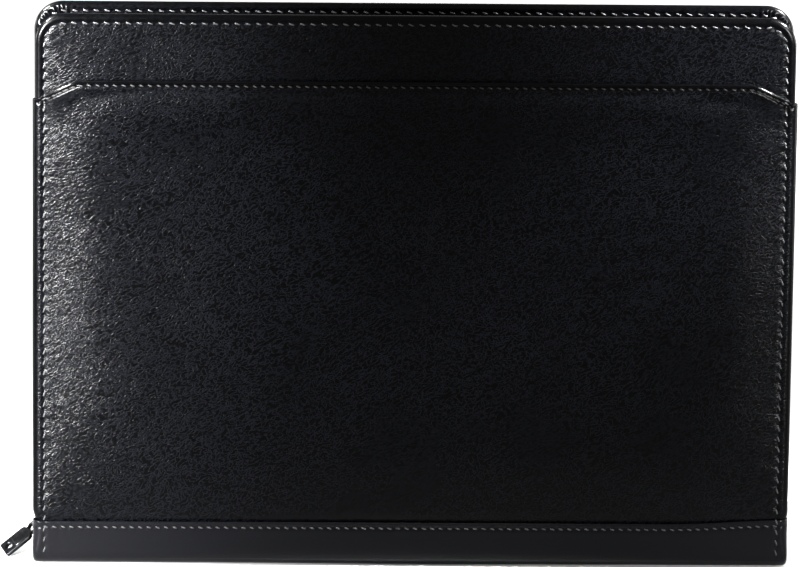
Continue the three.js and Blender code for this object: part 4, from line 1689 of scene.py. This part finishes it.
def main() -> None:
    """Build the pieces in order, dress them and set the studio."""
    logging.basicConfig(level=logging.INFO, format="%(name)s: %(message)s")
    form = CaseForm.from_frame()
    leather = LeatherFinish("black_leather").material()
    # the band is the same black leather; its lighter tones are a painted reflection of the white floor in
    # front of it
    band_floor_reflection_tones = (0.0022, 0.00226, 0.0028), (0.0034, 0.0035, 0.0044)
    band_leather_painted_reflection = LeatherFinish("band_leather_painted_reflection", *band_floor_reflection_tones).material()
    thread = ThreadFinish("grey_thread").material()
    tape = TapeFinish("zip_tape_weave").material()
    teeth = TeethFinish("zip_teeth_nylon").material()
    metal = MetalFinish("dark_metal").material()

    front_half = form.half_width - form.lap
    front_track = RimTrack(front_half, form.height, form.corner, form.stitch_inset, 5.0, 5.0)
    back_track = RimTrack(form.half_width, form.height, form.corner, form.stitch_inset, 5.0, 5.0)
    front = Cover(form, Side.FRONT, "front_cover", front_half, 17.0, RimSeam(front_track))
    back = Cover(form, Side.BACK, "back_cover", form.half_width, 18.0, RimSeam(back_track))
    pocket = Pocket(form, front)
    band = SpineBand(form, front, back)
    padding = Padding()

    front_piece, back_piece = front.build(padding), back.build(padding)
    for cover, piece in ((front, front_piece), (back, back_piece)):
        Bench.dress(piece, leather, Slot.LEATHER, Body.CASE, cover.node)
    pocket_piece = pocket.build(padding)
    Bench.dress(pocket_piece, leather, Slot.LEATHER, Body.CASE, pocket.node)
    pocket.flat_size()
    band_piece = band.build()
    Bench.dress(band_piece, band_leather_painted_reflection, Slot.LEATHER, Body.CASE, band.node)
    band.flat_size()

    closure = Zip(form, front_half, front.depth, back.depth)
    for side in Side:
        closure.tape(side, tape)
        closure.teeth(side, teeth)
    closure.metal("zip_slider", metal, 0.16, Body.CASE)
    closure.metal("zip_pull", metal, 0.14, Body.PULL)

    sewing = Stitching(thread)
    front_layers = [front_piece, pocket_piece, band_piece]
    back_layers = [back_piece, band_piece]
    front_row, back_row = band.seams()
    outside = 60.0  # a needle that starts here is clear of both covers
    sewing.sew("stitches_front_rim", front.seam, front_layers, -outside, Side.BACK)
    sewing.sew("stitches_back_rim", back.seam, back_layers, outside, Side.FRONT)
    sewing.sew("stitches_pocket_mouth", pocket.seam(), front_layers, -outside, Side.BACK)
    sewing.sew("stitches_band_front", front_row, front_layers, -outside, Side.BACK)
    sewing.sew("stitches_band_back", back_row, back_layers, outside, Side.FRONT)
    sewing.sew("stitches_front_hem", front.seam, front_layers, 0.0, Side.FRONT)
    sewing.sew("stitches_back_hem", back.seam, back_layers, 0.0, Side.BACK)

    studio = Studio()
    studio.floor()
    studio.light()
    studio.camera()


if __name__ == "__main__":
    main()
